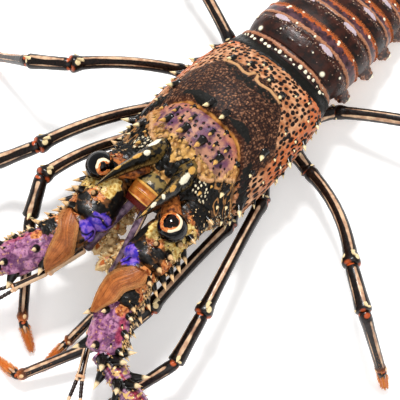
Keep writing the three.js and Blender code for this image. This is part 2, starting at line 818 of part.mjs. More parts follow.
// Tail fan
function tailFan() {
  const hub = point(tailMiddle(200), 197, 16.5);
  const fin = (side, spread, turn, drop, heading, length, width, rays) => blade({
    root: hub.clone().add(point(side * spread, turn, -drop)),
    heading: side * heading,
    droop: 0.2,
    length,
    width,
    thickness: 1.7,
    rays,
    rows: 4,
    bow: 1,
  });
  addNode('telson', [fin(LEFT, 0, 0, 0, 0, 52, 14.5, 4)], TAIL_PURPLE);
  [LEFT, RIGHT].forEach((side) => {
    addNode(`uropod_inner_${sideName(side)}`, [fin(side, 8, -1, 2.9, 0.42, 54, 13, 3)], TAIL_PURPLE);
    addNode(`uropod_outer_${sideName(side)}`, [fin(side, 13, -4, 5.6, 0.9, 54, 13.5, 3)], TAIL_PURPLE);
  });
}

// Legs: lengths of the hip part, merus, carpus, propodus and dactyl of each pair, and its root
const LEG_PAIRS = [
  { root: [14, 35, 20], lengths: [32, 44, 17, 36, 20] },
  { root: [18, 49, 19], lengths: [37, 66, 23, 55, 20] },
  { root: [22, 63, 19], lengths: [30, 76, 28, 57, 20] },
  { root: [25, 77, 19], lengths: [24, 72, 26, 42, 15] },
  { root: [24, 91, 20], lengths: [23, 64, 20, 42, 16] },
];
// How each leg stands: which way its five parts run, in degrees out from straight ahead, the heights
// of the joints at their ends, and how far the middle of the merus bows backward
const LEG_STANCE = {
  left: [
    { turns: [7, 6, -12, -8, -4], heights: [17, 25, 20, 5], bow: 0 },
    { turns: [30, 2, -11, -28, -86], heights: [17, 24, 19, 8], bow: 0 },
    { turns: [39, 16, 13, -18, 10], heights: [18, 26, 23, 8], bow: 0 },
    { turns: [76, 56, 51, 74, 73], heights: [18, 44, 48, 14], bow: 4.5 },
    { turns: [152, 112, 122, 132, 138], heights: [17, 36, 30, 9], bow: 0 },
  ],
  right: [
    { turns: [25, -12, 10, 55, 20], heights: [17, 25, 20, 5], bow: 0 },
    { turns: [38, 7, -21, -39, -57], heights: [16, 46, 33, 16], bow: 2 },
    { turns: [47, 17, 40, 5, 0], heights: [17, 41, 28, 9], bow: 2.5 },
    { turns: [80, 35, 61, 86, 60], heights: [16, 47, 41, 14], bow: 2 },
    { turns: [131, 108, 115, 130, 135], heights: [17, 34, 28, 9], bow: 0 },
  ],
};
const TOE_SINK = 0.7;

function legJoints(side, pair) {
  const { root, lengths } = LEG_PAIRS[pair];
  const { turns, heights } = LEG_STANCE[sideName(side)][pair];
  const joints = [point(root[0] * side, root[1], root[2])];
  lengths.forEach((length, i) => {
    const last = joints[i];
    const height = i < heights.length ? heights[i] : -TOE_SINK;
    const run = Math.sqrt(Math.max(length ** 2 - (height - last.z) ** 2, 1));
    const turn = THREE.MathUtils.degToRad(turns[i]);
    joints.push(point(last.x + side * run * Math.sin(turn), last.y - run * Math.cos(turn), height));
  });
  return joints;
}

// Thickness along each part of a leg: [share of its length, radius]
const LEG_PARTS = [
  [[0, 6.4], [0.35, 6.4], [0.5, 4.6]],
  [[0, 4.2], [0.1, 3.8], [0.5, 3.6], [0.9, 3.8], [0.98, 4.7], [1.02, 3.4]],
  [[-0.08, 2.6], [0.1, 3.5], [0.92, 4.2]],
  [[0.01, 2.7], [0.12, 3.1], [0.9, 2.8]],
  [[0.02, 2.2], [0.15, 2.5], [1, 0.9]],
];
const HIP = 0;
const MERUS = 1;
const CARPUS = 2;
const PROPODUS = 3;
const DACTYL = 4;
const MERUS_RISE = 2.5;
const KNEE_SPINE_PLACE = 0.93;
const KNEE_SPINE_RISE = 3.4;
const KNEE_SPINE_LENGTH = 4.5;
const KNEE_SPINE_RADIUS = 1.7;
const LEG_SIDES = 6;

function legStations(joints, part, bow) {
  const along = joints[part + 1].clone().sub(joints[part]).normalize();
  const back = along.clone().cross(UP).normalize();
  back.multiplyScalar(Math.sign(back.y));
  return LEG_PARTS[part].map(([share, radius]) => {
    const arch = part === MERUS ? Math.max(4 * share * (1 - share), 0) : 0;
    const at = joints[part].clone().lerp(joints[part + 1], share);
    at.addScaledVector(back, bow * arch).addScaledVector(UP, MERUS_RISE * arch);
    return { at, wide: radius };
  });
}

// The spine over the knee, at the far end of the merus
function kneeSpine(joints) {
  const along = joints[MERUS + 1].clone().sub(joints[MERUS]).normalize();
  const { over } = frameOf(along);
  const root = joints[MERUS].clone().lerp(joints[MERUS + 1], KNEE_SPINE_PLACE);
  root.addScaledVector(over, KNEE_SPINE_RISE);
  return spine(root, over.clone().add(along), KNEE_SPINE_LENGTH, KNEE_SPINE_RADIUS);
}

function leg(side, pair) {
  const joints = legJoints(side, pair);
  const { bow } = LEG_STANCE[sideName(side)][pair];
  const name = `leg_${sideName(side)}_${pair + 1}`;
  const upper = [HIP, MERUS].flatMap((part) => legStations(joints, part, bow));
  const lower = [CARPUS, PROPODUS, DACTYL].flatMap((part) => legStations(joints, part, bow));
  addNode(`${name}_upper`, [tube(upper, LEG_SIDES), kneeSpine(joints)], LEG_DARK);
  addNode(`${name}_lower`, [tube(lower, LEG_SIDES)], LEG_ORANGE);
}

carapace();
sternum();
[LEFT, RIGHT].forEach(horn);
antennularPlate();
[LEFT, RIGHT].forEach(eye);
epistome();
[LEFT, RIGHT].forEach((side) => {
  ARTICLES.forEach((_, index) => article(side, index));
  flagellum(side);
});
[LEFT, RIGHT].forEach(antennule);
[LEFT, RIGHT].forEach(maxilliped);
for (let index = 0; index < SEGMENT_EDGES.length - 1; index += 1) {
  abdomenRing(index);
}
tailFan();
LEG_PAIRS.forEach((_, pair) => [LEFT, RIGHT].forEach((side) => leg(side, pair)));

lobster.position.set(-MODEL_CENTRE.x, -MODEL_CENTRE.y, 0);

export default lobster;
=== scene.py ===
# %% [markdown]
# # A pronghorn spiny lobster, life size
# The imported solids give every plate, limb and feeler its place and size. This lesson dresses them:
# each solid is grown again as a fine mesh from the same measures, carved with the real shell's pits,
# granules and grooves, and painted with shaders that read masks stored on the mesh.

# %% Load the solids
import math

import bpy
import numpy as np
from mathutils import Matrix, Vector


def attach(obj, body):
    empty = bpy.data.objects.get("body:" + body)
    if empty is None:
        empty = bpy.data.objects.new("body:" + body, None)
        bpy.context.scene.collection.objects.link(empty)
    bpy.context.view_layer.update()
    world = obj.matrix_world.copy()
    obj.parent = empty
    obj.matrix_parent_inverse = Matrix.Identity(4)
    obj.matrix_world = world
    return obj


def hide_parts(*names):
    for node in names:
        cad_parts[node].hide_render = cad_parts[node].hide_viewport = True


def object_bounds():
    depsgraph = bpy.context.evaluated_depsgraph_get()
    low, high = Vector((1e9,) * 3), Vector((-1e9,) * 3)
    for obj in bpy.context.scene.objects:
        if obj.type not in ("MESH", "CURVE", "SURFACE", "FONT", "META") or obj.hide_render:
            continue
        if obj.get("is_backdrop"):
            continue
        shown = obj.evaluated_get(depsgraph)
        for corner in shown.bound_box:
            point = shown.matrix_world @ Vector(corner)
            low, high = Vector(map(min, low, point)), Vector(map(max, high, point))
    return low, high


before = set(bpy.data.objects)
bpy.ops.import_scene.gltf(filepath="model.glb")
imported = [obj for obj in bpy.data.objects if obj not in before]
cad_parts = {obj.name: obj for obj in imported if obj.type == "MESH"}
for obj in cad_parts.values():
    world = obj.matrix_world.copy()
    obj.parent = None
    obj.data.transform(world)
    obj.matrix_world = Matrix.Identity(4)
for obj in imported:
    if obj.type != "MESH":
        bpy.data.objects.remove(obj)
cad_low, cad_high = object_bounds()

print("solids span", [round(high - low, 4) for low, high in zip(cad_low, cad_high)])

# %% [markdown]
# ## The camera
# The photograph looks down steeply from the animal's front left with a moderately long lens, so the
# near antennae look large and the tail runs out of the frame. All measures below are millimetres in
# the body's own frame: y = 0 is the brow, y = 100 the rear edge of the carapace, +x its left side.

# %% Camera
MM = 0.001
CENTRE = np.array([8.0, 40.3, 0.0])
AZIMUTH, ELEVATION = math.radians(42.4), math.radians(66.8)
TARGET = np.array([21.1, 10.0, 40.0])
DISTANCE = 476.0


def place(points):
    """Body millimetres to metres in the frame of the solids."""
    return (np.asarray(points, float) - CENTRE) * MM


level = math.cos(ELEVATION)
away = np.array([math.sin(AZIMUTH) * level, -math.cos(AZIMUTH) * level, math.sin(ELEVATION)])
camera = bpy.data.objects.new("camera", bpy.data.cameras.new("camera"))
bpy.context.scene.collection.objects.link(camera)
camera.data.lens = 81.0
camera.data.sensor_width = 36.0
camera.location = place(TARGET + away * DISTANCE)
camera.rotation_mode = "QUATERNION"
camera.rotation_quaternion = Vector(-away).to_track_quat("-Z", "Y")
bpy.context.scene.camera = camera
print("camera at", [round(value, 3) for value in camera.location])

# %% [markdown]
# ## Floor and light
# A wet shell shows its form by small sharp highlights, so one fairly small key light stands high over
# the animal's right rear, beyond it as the camera sees it. A big soft light on the camera's side and a
# pale world keep the shadows open, as on a light table.

# %% Floor and light
bpy.context.scene.view_settings.view_transform = "Standard"
FLOOR_HALF = 3.0
floor_mesh = bpy.data.meshes.new("floor")
floor_corners = [(x * FLOOR_HALF, y * FLOOR_HALF, 0) for x, y in ((-1, -1), (1, -1), (1, 1), (-1, 1))]
floor_mesh.from_pydata(floor_corners, [], [(0, 1, 2, 3)])
floor = bpy.data.objects.new("floor", floor_mesh)
bpy.context.scene.collection.objects.link(floor)
floor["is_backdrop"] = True
world = bpy.data.worlds.new("studio")
bpy.context.scene.world = world
world.use_nodes = True
sky = world.node_tree.nodes["Background"].inputs
sky["Color"].default_value = (1.0, 1.0, 1.0, 1.0)
sky["Strength"].default_value = 0.5


def lamp(name, at, size, power):
    """A square light that looks at the middle of the animal."""
    light = bpy.data.lights.new(name, "AREA")
    light.size = size
    light.energy = power
    made = bpy.data.objects.new(name, light)
    bpy.context.scene.collection.objects.link(made)
    made.location = at
    made.rotation_mode = "QUATERNION"
    made.rotation_quaternion = (Vector((0, 0, 0.03)) - made.location).to_track_quat("-Z", "Y")
    print(name, "light", size, "m wide,", power, "W")


lamp("key", (-0.55, 0.35, 1.3), 0.28, 19.0)
lamp("fill", (0.9, -0.8, 1.4), 1.8, 13.0)

# %% [markdown]
# ## Curves and numbers
# Every outline of the animal is a smooth curve through a few [place, value] keys. The cell pattern
# scatters one point in each square of a grid and returns how far the nearest one is, which gives
# pits, granules and spots that shape and colour can share.

# %% Curves
def keyed(pairs):
    """A smooth curve through [place, value] keys."""
    keys = np.array(pairs, float)
    x, y = keys[:, 0], keys[:, 1]
    ends = np.minimum(np.arange(len(x)) + 1, len(x) - 1), np.maximum(np.arange(len(x)) - 1, 0)
    slope = (y[ends[0]] - y[ends[1]]) / (x[ends[0]] - x[ends[1]])

    def curve(at):
        at = np.clip(at, x[0], x[-1])
        i = np.clip(np.searchsorted(x, at) - 1, 0, len(x) - 2)
        span = x[i + 1] - x[i]
        t = (at - x[i]) / span
        rise = t * t * (3 - 2 * t)
        bulge = slope[i] * t * (1 - t) ** 2 - slope[i + 1] * t * t * (1 - t)
        return y[i] * (1 - rise) + y[i + 1] * rise + bulge * span

    return curve


def step(value, low, high):
    """0 below low, 1 above high, and smooth between them. It runs the other way if high < low."""
    t = np.clip((value - low) / (high - low), 0, 1)
    return t * t * (3 - 2 * t)


def bell(value, middle, reach):
    """1 at the middle, falling softly to nothing over the reach."""
    return np.exp(-(((value - middle) / reach) ** 2))


def unit(vectors):
    """Vectors scaled to length 1."""
    return vectors / np.maximum(np.linalg.norm(vectors, axis=-1, keepdims=True), 1e-12)


# %% Patterns
def scramble(a, b, seed):
    """A fixed random number from 0 to 1 for each pair of whole numbers."""
    return np.modf(np.abs(np.sin(a * 127.1 + b * 311.7 + seed * 74.7) * 43758.5453))[0]


def cells(x, y, size, seed, spread):
    """Distance to the nearest scattered point, its random number, and the gap to the next nearest."""
    column, row = np.floor(x / size), np.floor(y / size)
    nearest = np.full(np.shape(x), 1e9)
    second = nearest.copy()
    tag = np.zeros(np.shape(x))
    for shift_x in (-1, 0, 1):
        for shift_y in (-1, 0, 1):
            a, b = column + shift_x, row + shift_y
            px = (a + 0.5 + spread * (scramble(a, b, seed) - 0.5)) * size
            py = (b + 0.5 + spread * (scramble(a, b, seed + 1) - 0.5)) * size
            far = np.hypot(x - px, y - py)
            closer = far < nearest
            second = np.where(closer, nearest, np.minimum(second, far))
            tag = np.where(closer, scramble(a, b, seed + 2), tag)
            nearest = np.where(closer, far, nearest)
    return nearest, tag, second - nearest


def ripple(x, y, size, seed):
    """Soft random waves from 0 to 1."""
    column, row = np.floor(x / size), np.floor(y / size)
    tx, ty = x / size - column, y / size - row
    tx, ty = tx * tx * (3 - 2 * tx), ty * ty * (3 - 2 * ty)
    near = scramble(column, row, seed) * (1 - tx) + scramble(column + 1, row, seed) * tx
    far = scramble(column, row + 1, seed) * (1 - tx) + scramble(column + 1, row + 1, seed) * tx
    return near * (1 - ty) + far * ty


# %% [markdown]
# ## Meshes from arrays
# A form collects grids, spines and hairs as arrays, joins them and writes one mesh. Each point can
# carry masks, such as how far it lies along a spine, and the shaders read those masks by name.

# %% Meshes
class Form:
    """Parts of one piece: points, faces and masks, joined when the piece is made."""

    def __init__(self):
        self.points, self.faces, self.masks, self.maps = [], [], [], []
        self.count = 0

    def add(self, points, faces, **masks):
        """One part; its faces count from its own first point."""
        points = np.asarray(points, float).reshape(-1, 3)
        self.points.append(points)
        self.faces += [face + self.count for face in faces]
        self.masks.append(masks)
        self.maps.append(np.zeros((len(points), 2)))
        self.count += len(points)

    def grid(self, points, **masks):
        """Rows of points. The last column joins the first, and a fan of triangles caps each end."""
        rows, columns = points.shape[:2]
        index = np.arange(rows * columns).reshape(rows, columns)
        index = np.concatenate([index, index[:, :1]], 1)
        quads = np.stack([index[:-1, :-1], index[:-1, 1:], index[1:, 1:], index[1:, :-1]], -1)
        faces = [quads.reshape(-1, 4)]
        flat = points.reshape(-1, 3)
        masks = {name: np.broadcast_to(value, (rows, columns)).reshape(-1) for name, value in masks.items()}
        for row in (0, rows - 1):
            middle = np.full(columns, len(flat))
            flat = np.concatenate([flat, points[row].mean(0)[None]])
            masks = {name: np.append(value, value[row * columns]) for name, value in masks.items()}
            a, b = index[row, :-1], index[row, 1:]
            faces.append(np.stack([middle, a, b] if row else [middle, b, a], 1))
        self.add(flat, faces, **masks)

    def piece(self, name, material, nodes, slot, uv_name=None):
        """One object in the scene; nothing of it reaches outside the box of the solids."""
        points = np.concatenate(self.points)
        mesh = bpy.data.meshes.new(name)
        mesh.vertices.add(len(points))
        inside = np.clip(place(points), np.array(cad_low), np.array(cad_high))
        mesh.vertices.foreach_set("co", inside.astype(np.float32).ravel())
        corners = np.concatenate([face.ravel() for face in self.faces]).astype(np.int32)
        sizes = np.concatenate([np.full(len(face), face.shape[1]) for face in self.faces])
        mesh.loops.add(len(corners))
        mesh.loops.foreach_set("vertex_index", corners)
        mesh.polygons.add(len(sizes))
        starts = np.concatenate([[0], np.cumsum(sizes)[:-1]])
        mesh.polygons.foreach_set("loop_start", starts.astype(np.int32))
        mesh.polygons.foreach_set("use_smooth", np.ones(len(sizes), bool))
        for key in sorted({key for masks in self.masks for key in masks}):
            parts = [masks.get(key, np.zeros(len(part))) for masks, part in zip(self.masks, self.points)]
            layer = mesh.attributes.new(key, "FLOAT", "POINT")
            layer.data.foreach_set("value", np.concatenate(parts).astype(np.float32))
        if uv_name:
            layer = mesh.uv_layers.new(name=uv_name)
            layer.data.foreach_set("uv", np.concatenate(self.maps)[corners].astype(np.float32).ravel())
        mesh.update(calc_edges=True)
        mesh.validate()
        mesh.materials.append(material)
        made = bpy.data.objects.new(name, mesh)
        bpy.context.scene.collection.objects.link(made)
        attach(made, "root")
        if nodes:
            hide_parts(*nodes)
        print(name, len(points), "points", len(sizes), "faces")


def normals(points):
    """Outward directions of a closed grid, whose columns run anticlockwise seen from its first row."""
    wrapped = np.concatenate([points[:, -1:], points, points[:, :1]], 1)
    return unit(np.cross(wrapped[:, 2:] - wrapped[:, :-2], np.gradient(points, axis=0)))


# %% [markdown]
# ## Shader maths in Python
# One class wraps a socket, so that masks can be added, multiplied and inverted like numbers. Colours
# go through Mix nodes. Any other node comes from one method: its type, its settings, then its sockets.

# %% Shader helper
def tint(code):
    """A colour such as c87818 as the shader's linear values."""
    parts = [int(code[i:i + 2], 16) / 255 for i in (0, 2, 4)]
    return tuple(((part + 0.055) / 1.055) ** 2.4 if part > 0.04045 else part / 12.92
                 for part in parts) + (1.0,)


class Value:
    """A socket on which Python's operators add Math nodes."""

    def __init__(self, finish, socket):
        self.finish, self.socket = finish, socket

    def math(self, operation, *inputs):
        sockets = dict(enumerate(inputs))
        return self.finish.node("Math", {"operation": operation}, sockets)

    def __add__(self, other):
        return self.math("ADD", self, other)

    def __sub__(self, other):
        return self.math("SUBTRACT", self, other)

    def __rsub__(self, other):
        return self.math("SUBTRACT", other, self)

    def __mul__(self, other):
        return self.math("MULTIPLY", self, other)

    __radd__, __rmul__ = __add__, __mul__

    def clamp(self):
        return self.finish.node("Clamp", {}, {0: self})

    def above(self, low, high):
        """0 below low, 1 above high, smooth between."""
        sockets = {"Value": self, "From Min": low, "From Max": high}
        return self.finish.node("MapRange", {"interpolation_type": "SMOOTHSTEP"}, sockets)


# %% Finishes
class Finish:
    """A material that is built node by node, its colours laid one over the other."""

    def __init__(self, name):
        self.material = bpy.data.materials.new(name)
        self.material.use_nodes = True
        self.tree = self.material.node_tree
        self.tree.nodes.clear()
        self.colour = None

    def node(self, kind, settings, sockets, output=0):
        """A node of any kind, and one of its outputs as a Value."""
        made = self.tree.nodes.new("ShaderNode" + kind)
        for key, value in settings.items():
            setattr(made, key, value)
        for key, value in sockets.items():
            if isinstance(value, Value):
                self.tree.links.new(value.socket, made.inputs[key])
            else:
                made.inputs[key].default_value = value
        return Value(self, made.outputs[output]) if len(made.outputs) else made

    def mask(self, name):
        """A mask stored on the mesh."""
        return self.node("Attribute", {"attribute_name": name}, {}, "Fac")

    def zone(self, name, low, high, ragged=None):
        """A mask with its edge between low and high; ragged noise frays that edge."""
        mask = self.mask(name)
        return (mask if ragged is None else mask + ragged).above(low, high)

    def mix(self, factor, first, second):
        first, second = [tint(c) if isinstance(c, str) else c for c in (first, second)]
        return self.node("Mix", {"data_type": "RGBA"}, {0: factor, 6: first, 7: second}, 2)

    def lay(self, first, second=None, share=None, where=None):
        """Lay a colour, or two that are mixed by share, over what is there, where a mask says."""
        layer = first if second is None else self.mix(share, first, second)
        self.colour = layer if where is None else self.mix(where, self.colour, layer)

    def noise(self, size, detail=2.0):
        """Noise with waves of about the given size in millimetres."""
        spot = self.node("TexCoord", {}, {}, "Object")
        return self.node("TexNoise", {}, {"Vector": spot, "Scale": 1 / (size * MM), "Detail": detail})

    def grains(self, size):
        """Distance to the nearest of scattered points, which lie about the given size apart."""
        spot = self.node("TexCoord", {}, {}, "Object")
        return self.node("TexVoronoi", {}, {"Vector": spot, "Scale": 1 / (size * MM)})

    def shell(self, roughness, height=None, depth=0.3, gloss=0.28, coat=0.0, **extra):
        """The final shader: a hard wet surface, with a relief up to depth in millimetres."""
        sockets = {"Base Color": self.colour, "Roughness": roughness, "Specular IOR Level": gloss,
                   "Coat Weight": coat, "Coat Roughness": 0.06, **extra}
        if height is not None:
            sockets["Normal"] = self.node("Bump", {}, {"Distance": depth * MM, "Height": height})
        shader = self.node("BsdfPrincipled", {}, sockets)
        self.node("OutputMaterial", {}, {"Surface": shader})
        return self.material


# %% Floor finish
paint = Finish("floor_white")
paint.lay("f7f6f4", "fbfaf9", paint.noise(60.0))
floor_glow = {"Emission Color": (1.0, 1.0, 1.0, 1.0), "Emission Strength": 0.3}
floor.data.materials.append(paint.shell(0.75, gloss=0.2, **floor_glow))

# %% [markdown]
# ## Tubes and spines
# Limbs are tubes through stations of x, y, z, half width and half height. A spine is a cone with a
# flared root and a slight bend, and a hair is a thin bent spike; hundreds are grown in one go.

# %% Tubes
UP = np.array([0.0, 0.0, 1.0])
TURN = 2 * math.pi
SIDES = ((1, "left"), (-1, "right"))


def route(stations, rings):
    """Stations resampled evenly: middles, half widths, half heights, frames and share of the length."""
    stations = np.array(stations, float)
    gaps = np.linalg.norm(np.diff(stations[:, :3], axis=0), axis=1)
    distance = np.concatenate([[0], np.cumsum(gaps)])
    share = np.linspace(0, 1, rings)
    at = share * distance[-1]
    track = np.stack([keyed(np.stack([distance, stations[:, k]], 1))(at) for k in range(5)], 1)
    along = unit(np.gradient(track[:, :3], axis=0))
    across = unit(np.cross(UP, along))
    return {"at": track[:, :3], "wide": track[:, 3], "high": track[:, 4], "share": share,
            "along": along, "across": across, "over": np.cross(along, across)}


def tube(path, sides):
    """A grid of points round a path, and the turn of each column."""
    turn = np.linspace(0, TURN, sides, endpoint=False)
    out = path["across"][:, None] * (path["wide"][:, None] * np.cos(turn))[..., None]
    out = out + path["over"][:, None] * (path["high"][:, None] * np.sin(turn))[..., None]
    return path["at"][:, None] + out, turn


# %% Spines
ROOTED = 1.6
SPINE_PROFILE = keyed([[0, 1.35], [0.12, 1.0], [0.4, 0.72], [0.75, 0.34], [1, 0.03]])


def grow_spines(form, roots, ways, lengths, radii, lean=(0, -1, 0), bend=0.12, sides=8, rings=8, **masks):
    """Curved cones: the spine mask runs from 0.02 at the root to 1 at the tip."""
    roots, ways = np.atleast_2d(roots), unit(np.atleast_2d(ways))
    lengths, radii = np.broadcast_to(lengths, len(roots)), np.broadcast_to(radii, len(roots))
    t = np.linspace(0, 1, rings)
    side = unit(np.cross(ways, np.where(np.abs(ways[:, 2:]) > 0.9, [1.0, 0, 0], [0, 0, 1.0])))
    up = np.cross(side, ways)
    turn = np.linspace(0, TURN, sides, endpoint=False)
    reach = (lengths[:, None] + ROOTED) * t - ROOTED
    sag = bend * lengths[:, None] * t ** 2
    line = roots[:, None] + ways[:, None] * reach[..., None] + np.array(lean) * sag[..., None]
    ring = side[:, None] * np.cos(turn)[:, None] + up[:, None] * np.sin(turn)[:, None]
    size = radii[:, None] * SPINE_PROFILE(t)
    points = line[:, :, None] + ring[:, None] * size[..., None, None]
    index = np.arange(rings * sides).reshape(rings, sides)
    nearer, farther = index[:-1], index[1:]
    quads = np.stack([nearer, np.roll(nearer, -1, 1), np.roll(farther, -1, 1), farther], -1).reshape(-1, 4)
    shift = (np.arange(len(roots)) * rings * sides)[:, None, None]
    faces = (quads + shift).reshape(-1, 4)
    fan = np.stack([np.arange(1, sides - 1), np.arange(2, sides), np.zeros(sides - 2, int)], 1)
    first = (fan[:, ::-1] + shift).reshape(-1, 3)
    last = (fan + (rings - 1) * sides + shift).reshape(-1, 3)
    amount = np.broadcast_to((0.02 + 0.98 * t)[None, :, None], (len(roots), rings, sides))
    spread = {}
    for key, value in masks.items():
        spread[key] = np.broadcast_to(np.reshape(value, (-1, 1, 1)), amount.shape).reshape(-1)
    form.add(points, [faces, first, last], spine=amount.reshape(-1), **spread)


# %% [markdown]
# ## Carapace
# The shield is one loft of arched rings, each drawn forward down its sides, so that the cervical
# groove sweeps forward. A plain loft would look like plastic, so pits, granules, ridges and the groove
# are real relief: the mesh has a point every half millimetre.

# %% Carapace shape
carapace_width = keyed([[0, 29], [10, 33.5], [22, 36], [43, 39.5], [60, 41.2], [76, 40], [91, 37], [100, 34]])
carapace_top = keyed([[0, 50], [10, 55.5], [25, 61.5], [41, 63.5], [60, 64.5], [80, 60], [100, 51.5]])
carapace_waist = keyed([[0, 34], [22, 31.5], [60, 32], [100, 33]])
carapace_bottom = keyed([[0, 27], [20, 22.5], [50, 20], [80, 20], [100, 23]])
carapace_bend = keyed([[0, 3], [20, 11], [43, 25], [60, 14], [80, 3], [100, -3]])
carapace_crown = keyed([[0, 1.75], [43, 1.78], [70, 1.9], [100, 1.95]])
GROOVE, REAR_GROOVE = 43.0, 93.0


def arch(turn, middle, y, width, top, waist, bottom, crown, keel):
    """A ring of shell: a rounded arch above its widest level and a flatter one below."""
    s, c = np.sin(turn), np.cos(turn)
    roundness = 2 / np.where(c > 0, crown, keel)
    height = np.where(c > 0, top - waist, waist - bottom)
    x = middle + width * np.sign(s) * np.abs(s) ** roundness
    z = waist + height * np.sign(c) * np.abs(c) ** roundness
    return np.stack(np.broadcast_arrays(x, y, z), -1)


def carapace_at(u, turn, dip=True):
    """The shield at a place along it and a turn from its crest, with or without its grooves."""
    around = np.arccos(np.cos(turn))
    forward = carapace_bend(u) * step(around, math.radians(25), math.radians(80))
    groove = 2.6 * bell(u, GROOVE, 2.2) + 1.1 * bell(u, REAR_GROOVE, 1.6)
    groove = groove * step(around, math.radians(105) + 0.5, math.radians(105)) if dip else 0.0
    return arch(turn, 0.0, u - forward, carapace_width(u) - groove, carapace_top(u) - groove,
                carapace_waist(u), carapace_bottom(u), carapace_crown(u), 2.8)


def carapace_out(u, turn):
    """Outward direction of the bare shield."""
    small = 0.05
    along = carapace_at(u + small, turn, False) - carapace_at(u - small, turn, False)
    around = carapace_at(u, turn + small * 0.1, False) - carapace_at(u, turn - small * 0.1, False)
    return unit(np.cross(around, along))


# %% Carapace grid
ROWS, COLUMNS = 200, 460
u_grid = np.linspace(0, 100, ROWS)[:, None]
turn_grid = np.linspace(-math.pi, math.pi, COLUMNS, endpoint=False)[None, :]
bare = carapace_at(u_grid, turn_grid)
steps_across = np.linalg.norm(np.diff(bare, axis=1, append=bare[:, :1]), axis=-1)
across_mm = np.cumsum(steps_across, axis=1) - steps_across
across_mm = across_mm - across_mm[:, COLUMNS // 2:COLUMNS // 2 + 1]
along_mm = np.broadcast_to(u_grid, across_mm.shape)
degrees = np.abs(np.degrees(turn_grid)) + 0 * u_grid
print("carapace girth", round(float(steps_across.sum(1).max())), "mm")

# %% [markdown]
# ## Where the spines of the carapace stand
# On the real animal the spines stand in mirrored rows and lean forward. The great ones are placed one
# by one, as a pair at a place along the shield and an angle from its crest. Lesser ones fill the rows
# between, each kept clear of its neighbours, of the groove and of the horns.

# %% Carapace spines
# Place along the shield, degrees from its crest, length and radius.
CARAPACE_SPINES = [
    [27.7, 11, 8, 2.5], [28.4, 31, 7.5, 2.3], [47, 9, 7.5, 2.2], [56, 51, 7.5, 2.4], [46, 77, 8, 2.5],
    [29, 54, 7, 2.2], [69, 78, 6.5, 2.1], [78, 80, 6, 2], [88, 78, 5, 1.9], [78, 27, 5, 1.9],
    [81, 11, 3.6, 1.6], [2.5, 48, 7.5, 2.2], [3, 66, 8, 2.3], [4, 86, 7, 2.1], [13, 41, 5.5, 1.8],
    [15, 72, 5.5, 1.8], [35, 12, 4.5, 1.6], [35, 30, 4.5, 1.6],
]
SMALL_SPINES = [
    [86.5, 3, 2.2, 1.5], [39, 44, 3, 1.8], [34, 66, 4.5, 1.6], [50, 57, 3.5, 1.5], [62, 62, 3.2, 1.3],
    [62, 84, 4.5, 1.5], [74, 66, 3, 1.3], [84, 62, 3.2, 1.3], [90, 50, 2.8, 1.2], [66, 96, 3.5, 1.3],
    [52, 94, 4, 1.4], [38, 84, 4.5, 1.5], [26, 80, 4.5, 1.5], [22, 62, 4, 1.5], [9, 78, 4.5, 1.5],
    [8, 57, 4, 1.4], [20, 44, 3.2, 1.3], [86, 36, 2.6, 1.2], [70, 52, 2.2, 1.1],
    [40, 20, 2.6, 1.2], [22, 6, 3.4, 1.5], [20, 16, 3, 1.4],
]
HORN_ROOT = np.array([9.5, 15, 51.0])


def fill_rows(taken):
    """Random lesser spines in staggered rows, clear of those already there."""
    rng = np.random.default_rng(5)
    roots = [carapace_at(u, math.radians(turn)) for u, turn, _, _ in taken]
    found = []
    for row, angle in enumerate([24, 58, 74, 90, 106]):
        for along in np.arange(8 + (row % 2) * 4, 96, 8.0):
            u, turn = along + 3 * (rng.random() - 0.5), angle + 7 * (rng.random() - 0.5)
            at = carapace_at(u, math.radians(turn))
            near = min(np.linalg.norm(at - other) for other in roots)
            free = near > 5 and abs(u - GROOVE) > 3.5 and np.linalg.norm(at - HORN_ROOT) > 12
            if free and (angle > 50 or u < 40):
                size = 1.0 if u < GROOVE or angle > 90 else 0.7
                found.append([u, turn, 3.4 * size, 1.3 * math.sqrt(size)])
                roots.append(at)
    return found


shield_spines = np.array(CARAPACE_SPINES + SMALL_SPINES)
shield_spines = np.array(CARAPACE_SPINES + SMALL_SPINES + fill_rows(shield_spines))
print(len(shield_spines), "pairs of spines on the carapace")

# %% [markdown]
# ## Regions of the shield
# Carcinologists divide the carapace into regions, and on this species each has its own colour: a mauve
# gastric field before the groove, a dark granulated saddle behind it, and a salmon network full of
# round pits on the flanks and rear. Raised lines bound some of them. Each region becomes a mask.

# %% Region masks
def arc_at(u, angle):
    """Signed millimetres from the crest for an angle in degrees."""
    row = int(np.clip(round(u / 100 * (ROWS - 1)), 0, ROWS - 1))
    return np.interp(math.radians(angle), turn_grid[0], across_mm[row])


def line_distance(points):
    """Millimetres to a line through [place, degrees] points, and to its mirror image."""
    nearest = np.full(across_mm.shape, 99.0)
    spots = np.array([[u, arc_at(u, angle)] for u, angle in points])
    aside = np.abs(across_mm)
    for a, b in zip(spots[:-1], spots[1:]):
        way = b - a
        share = ((along_mm - a[0]) * way[0] + (aside - a[1]) * way[1]) / (way @ way)
        share = np.clip(share, 0, 1)
        before_line, beside_line = along_mm - a[0] - share * way[0], aside - a[1] - share * way[1]
        nearest = np.minimum(nearest, np.hypot(before_line, beside_line))
    return nearest


def near_spines(rows, reach):
    """A soft spot round each spine root, the largest of all."""
    spot = np.zeros(across_mm.shape)
    for u, angle, _, radius in rows:
        for side in (1, -1):
            root = carapace_at(np.array(u), np.array(math.radians(angle * side)))
            away = np.linalg.norm(bare - root, axis=-1)
            spot = np.maximum(spot, bell(away, 0, reach * radius))
    return spot


def ridged(x, y, seed):
    """Thin winding lines: 1 on a line, falling to 0 between."""
    return 1 - (np.abs(2 * ripple(x, y, 1.0, seed) - 1) * 2.6).clip(0, 1)


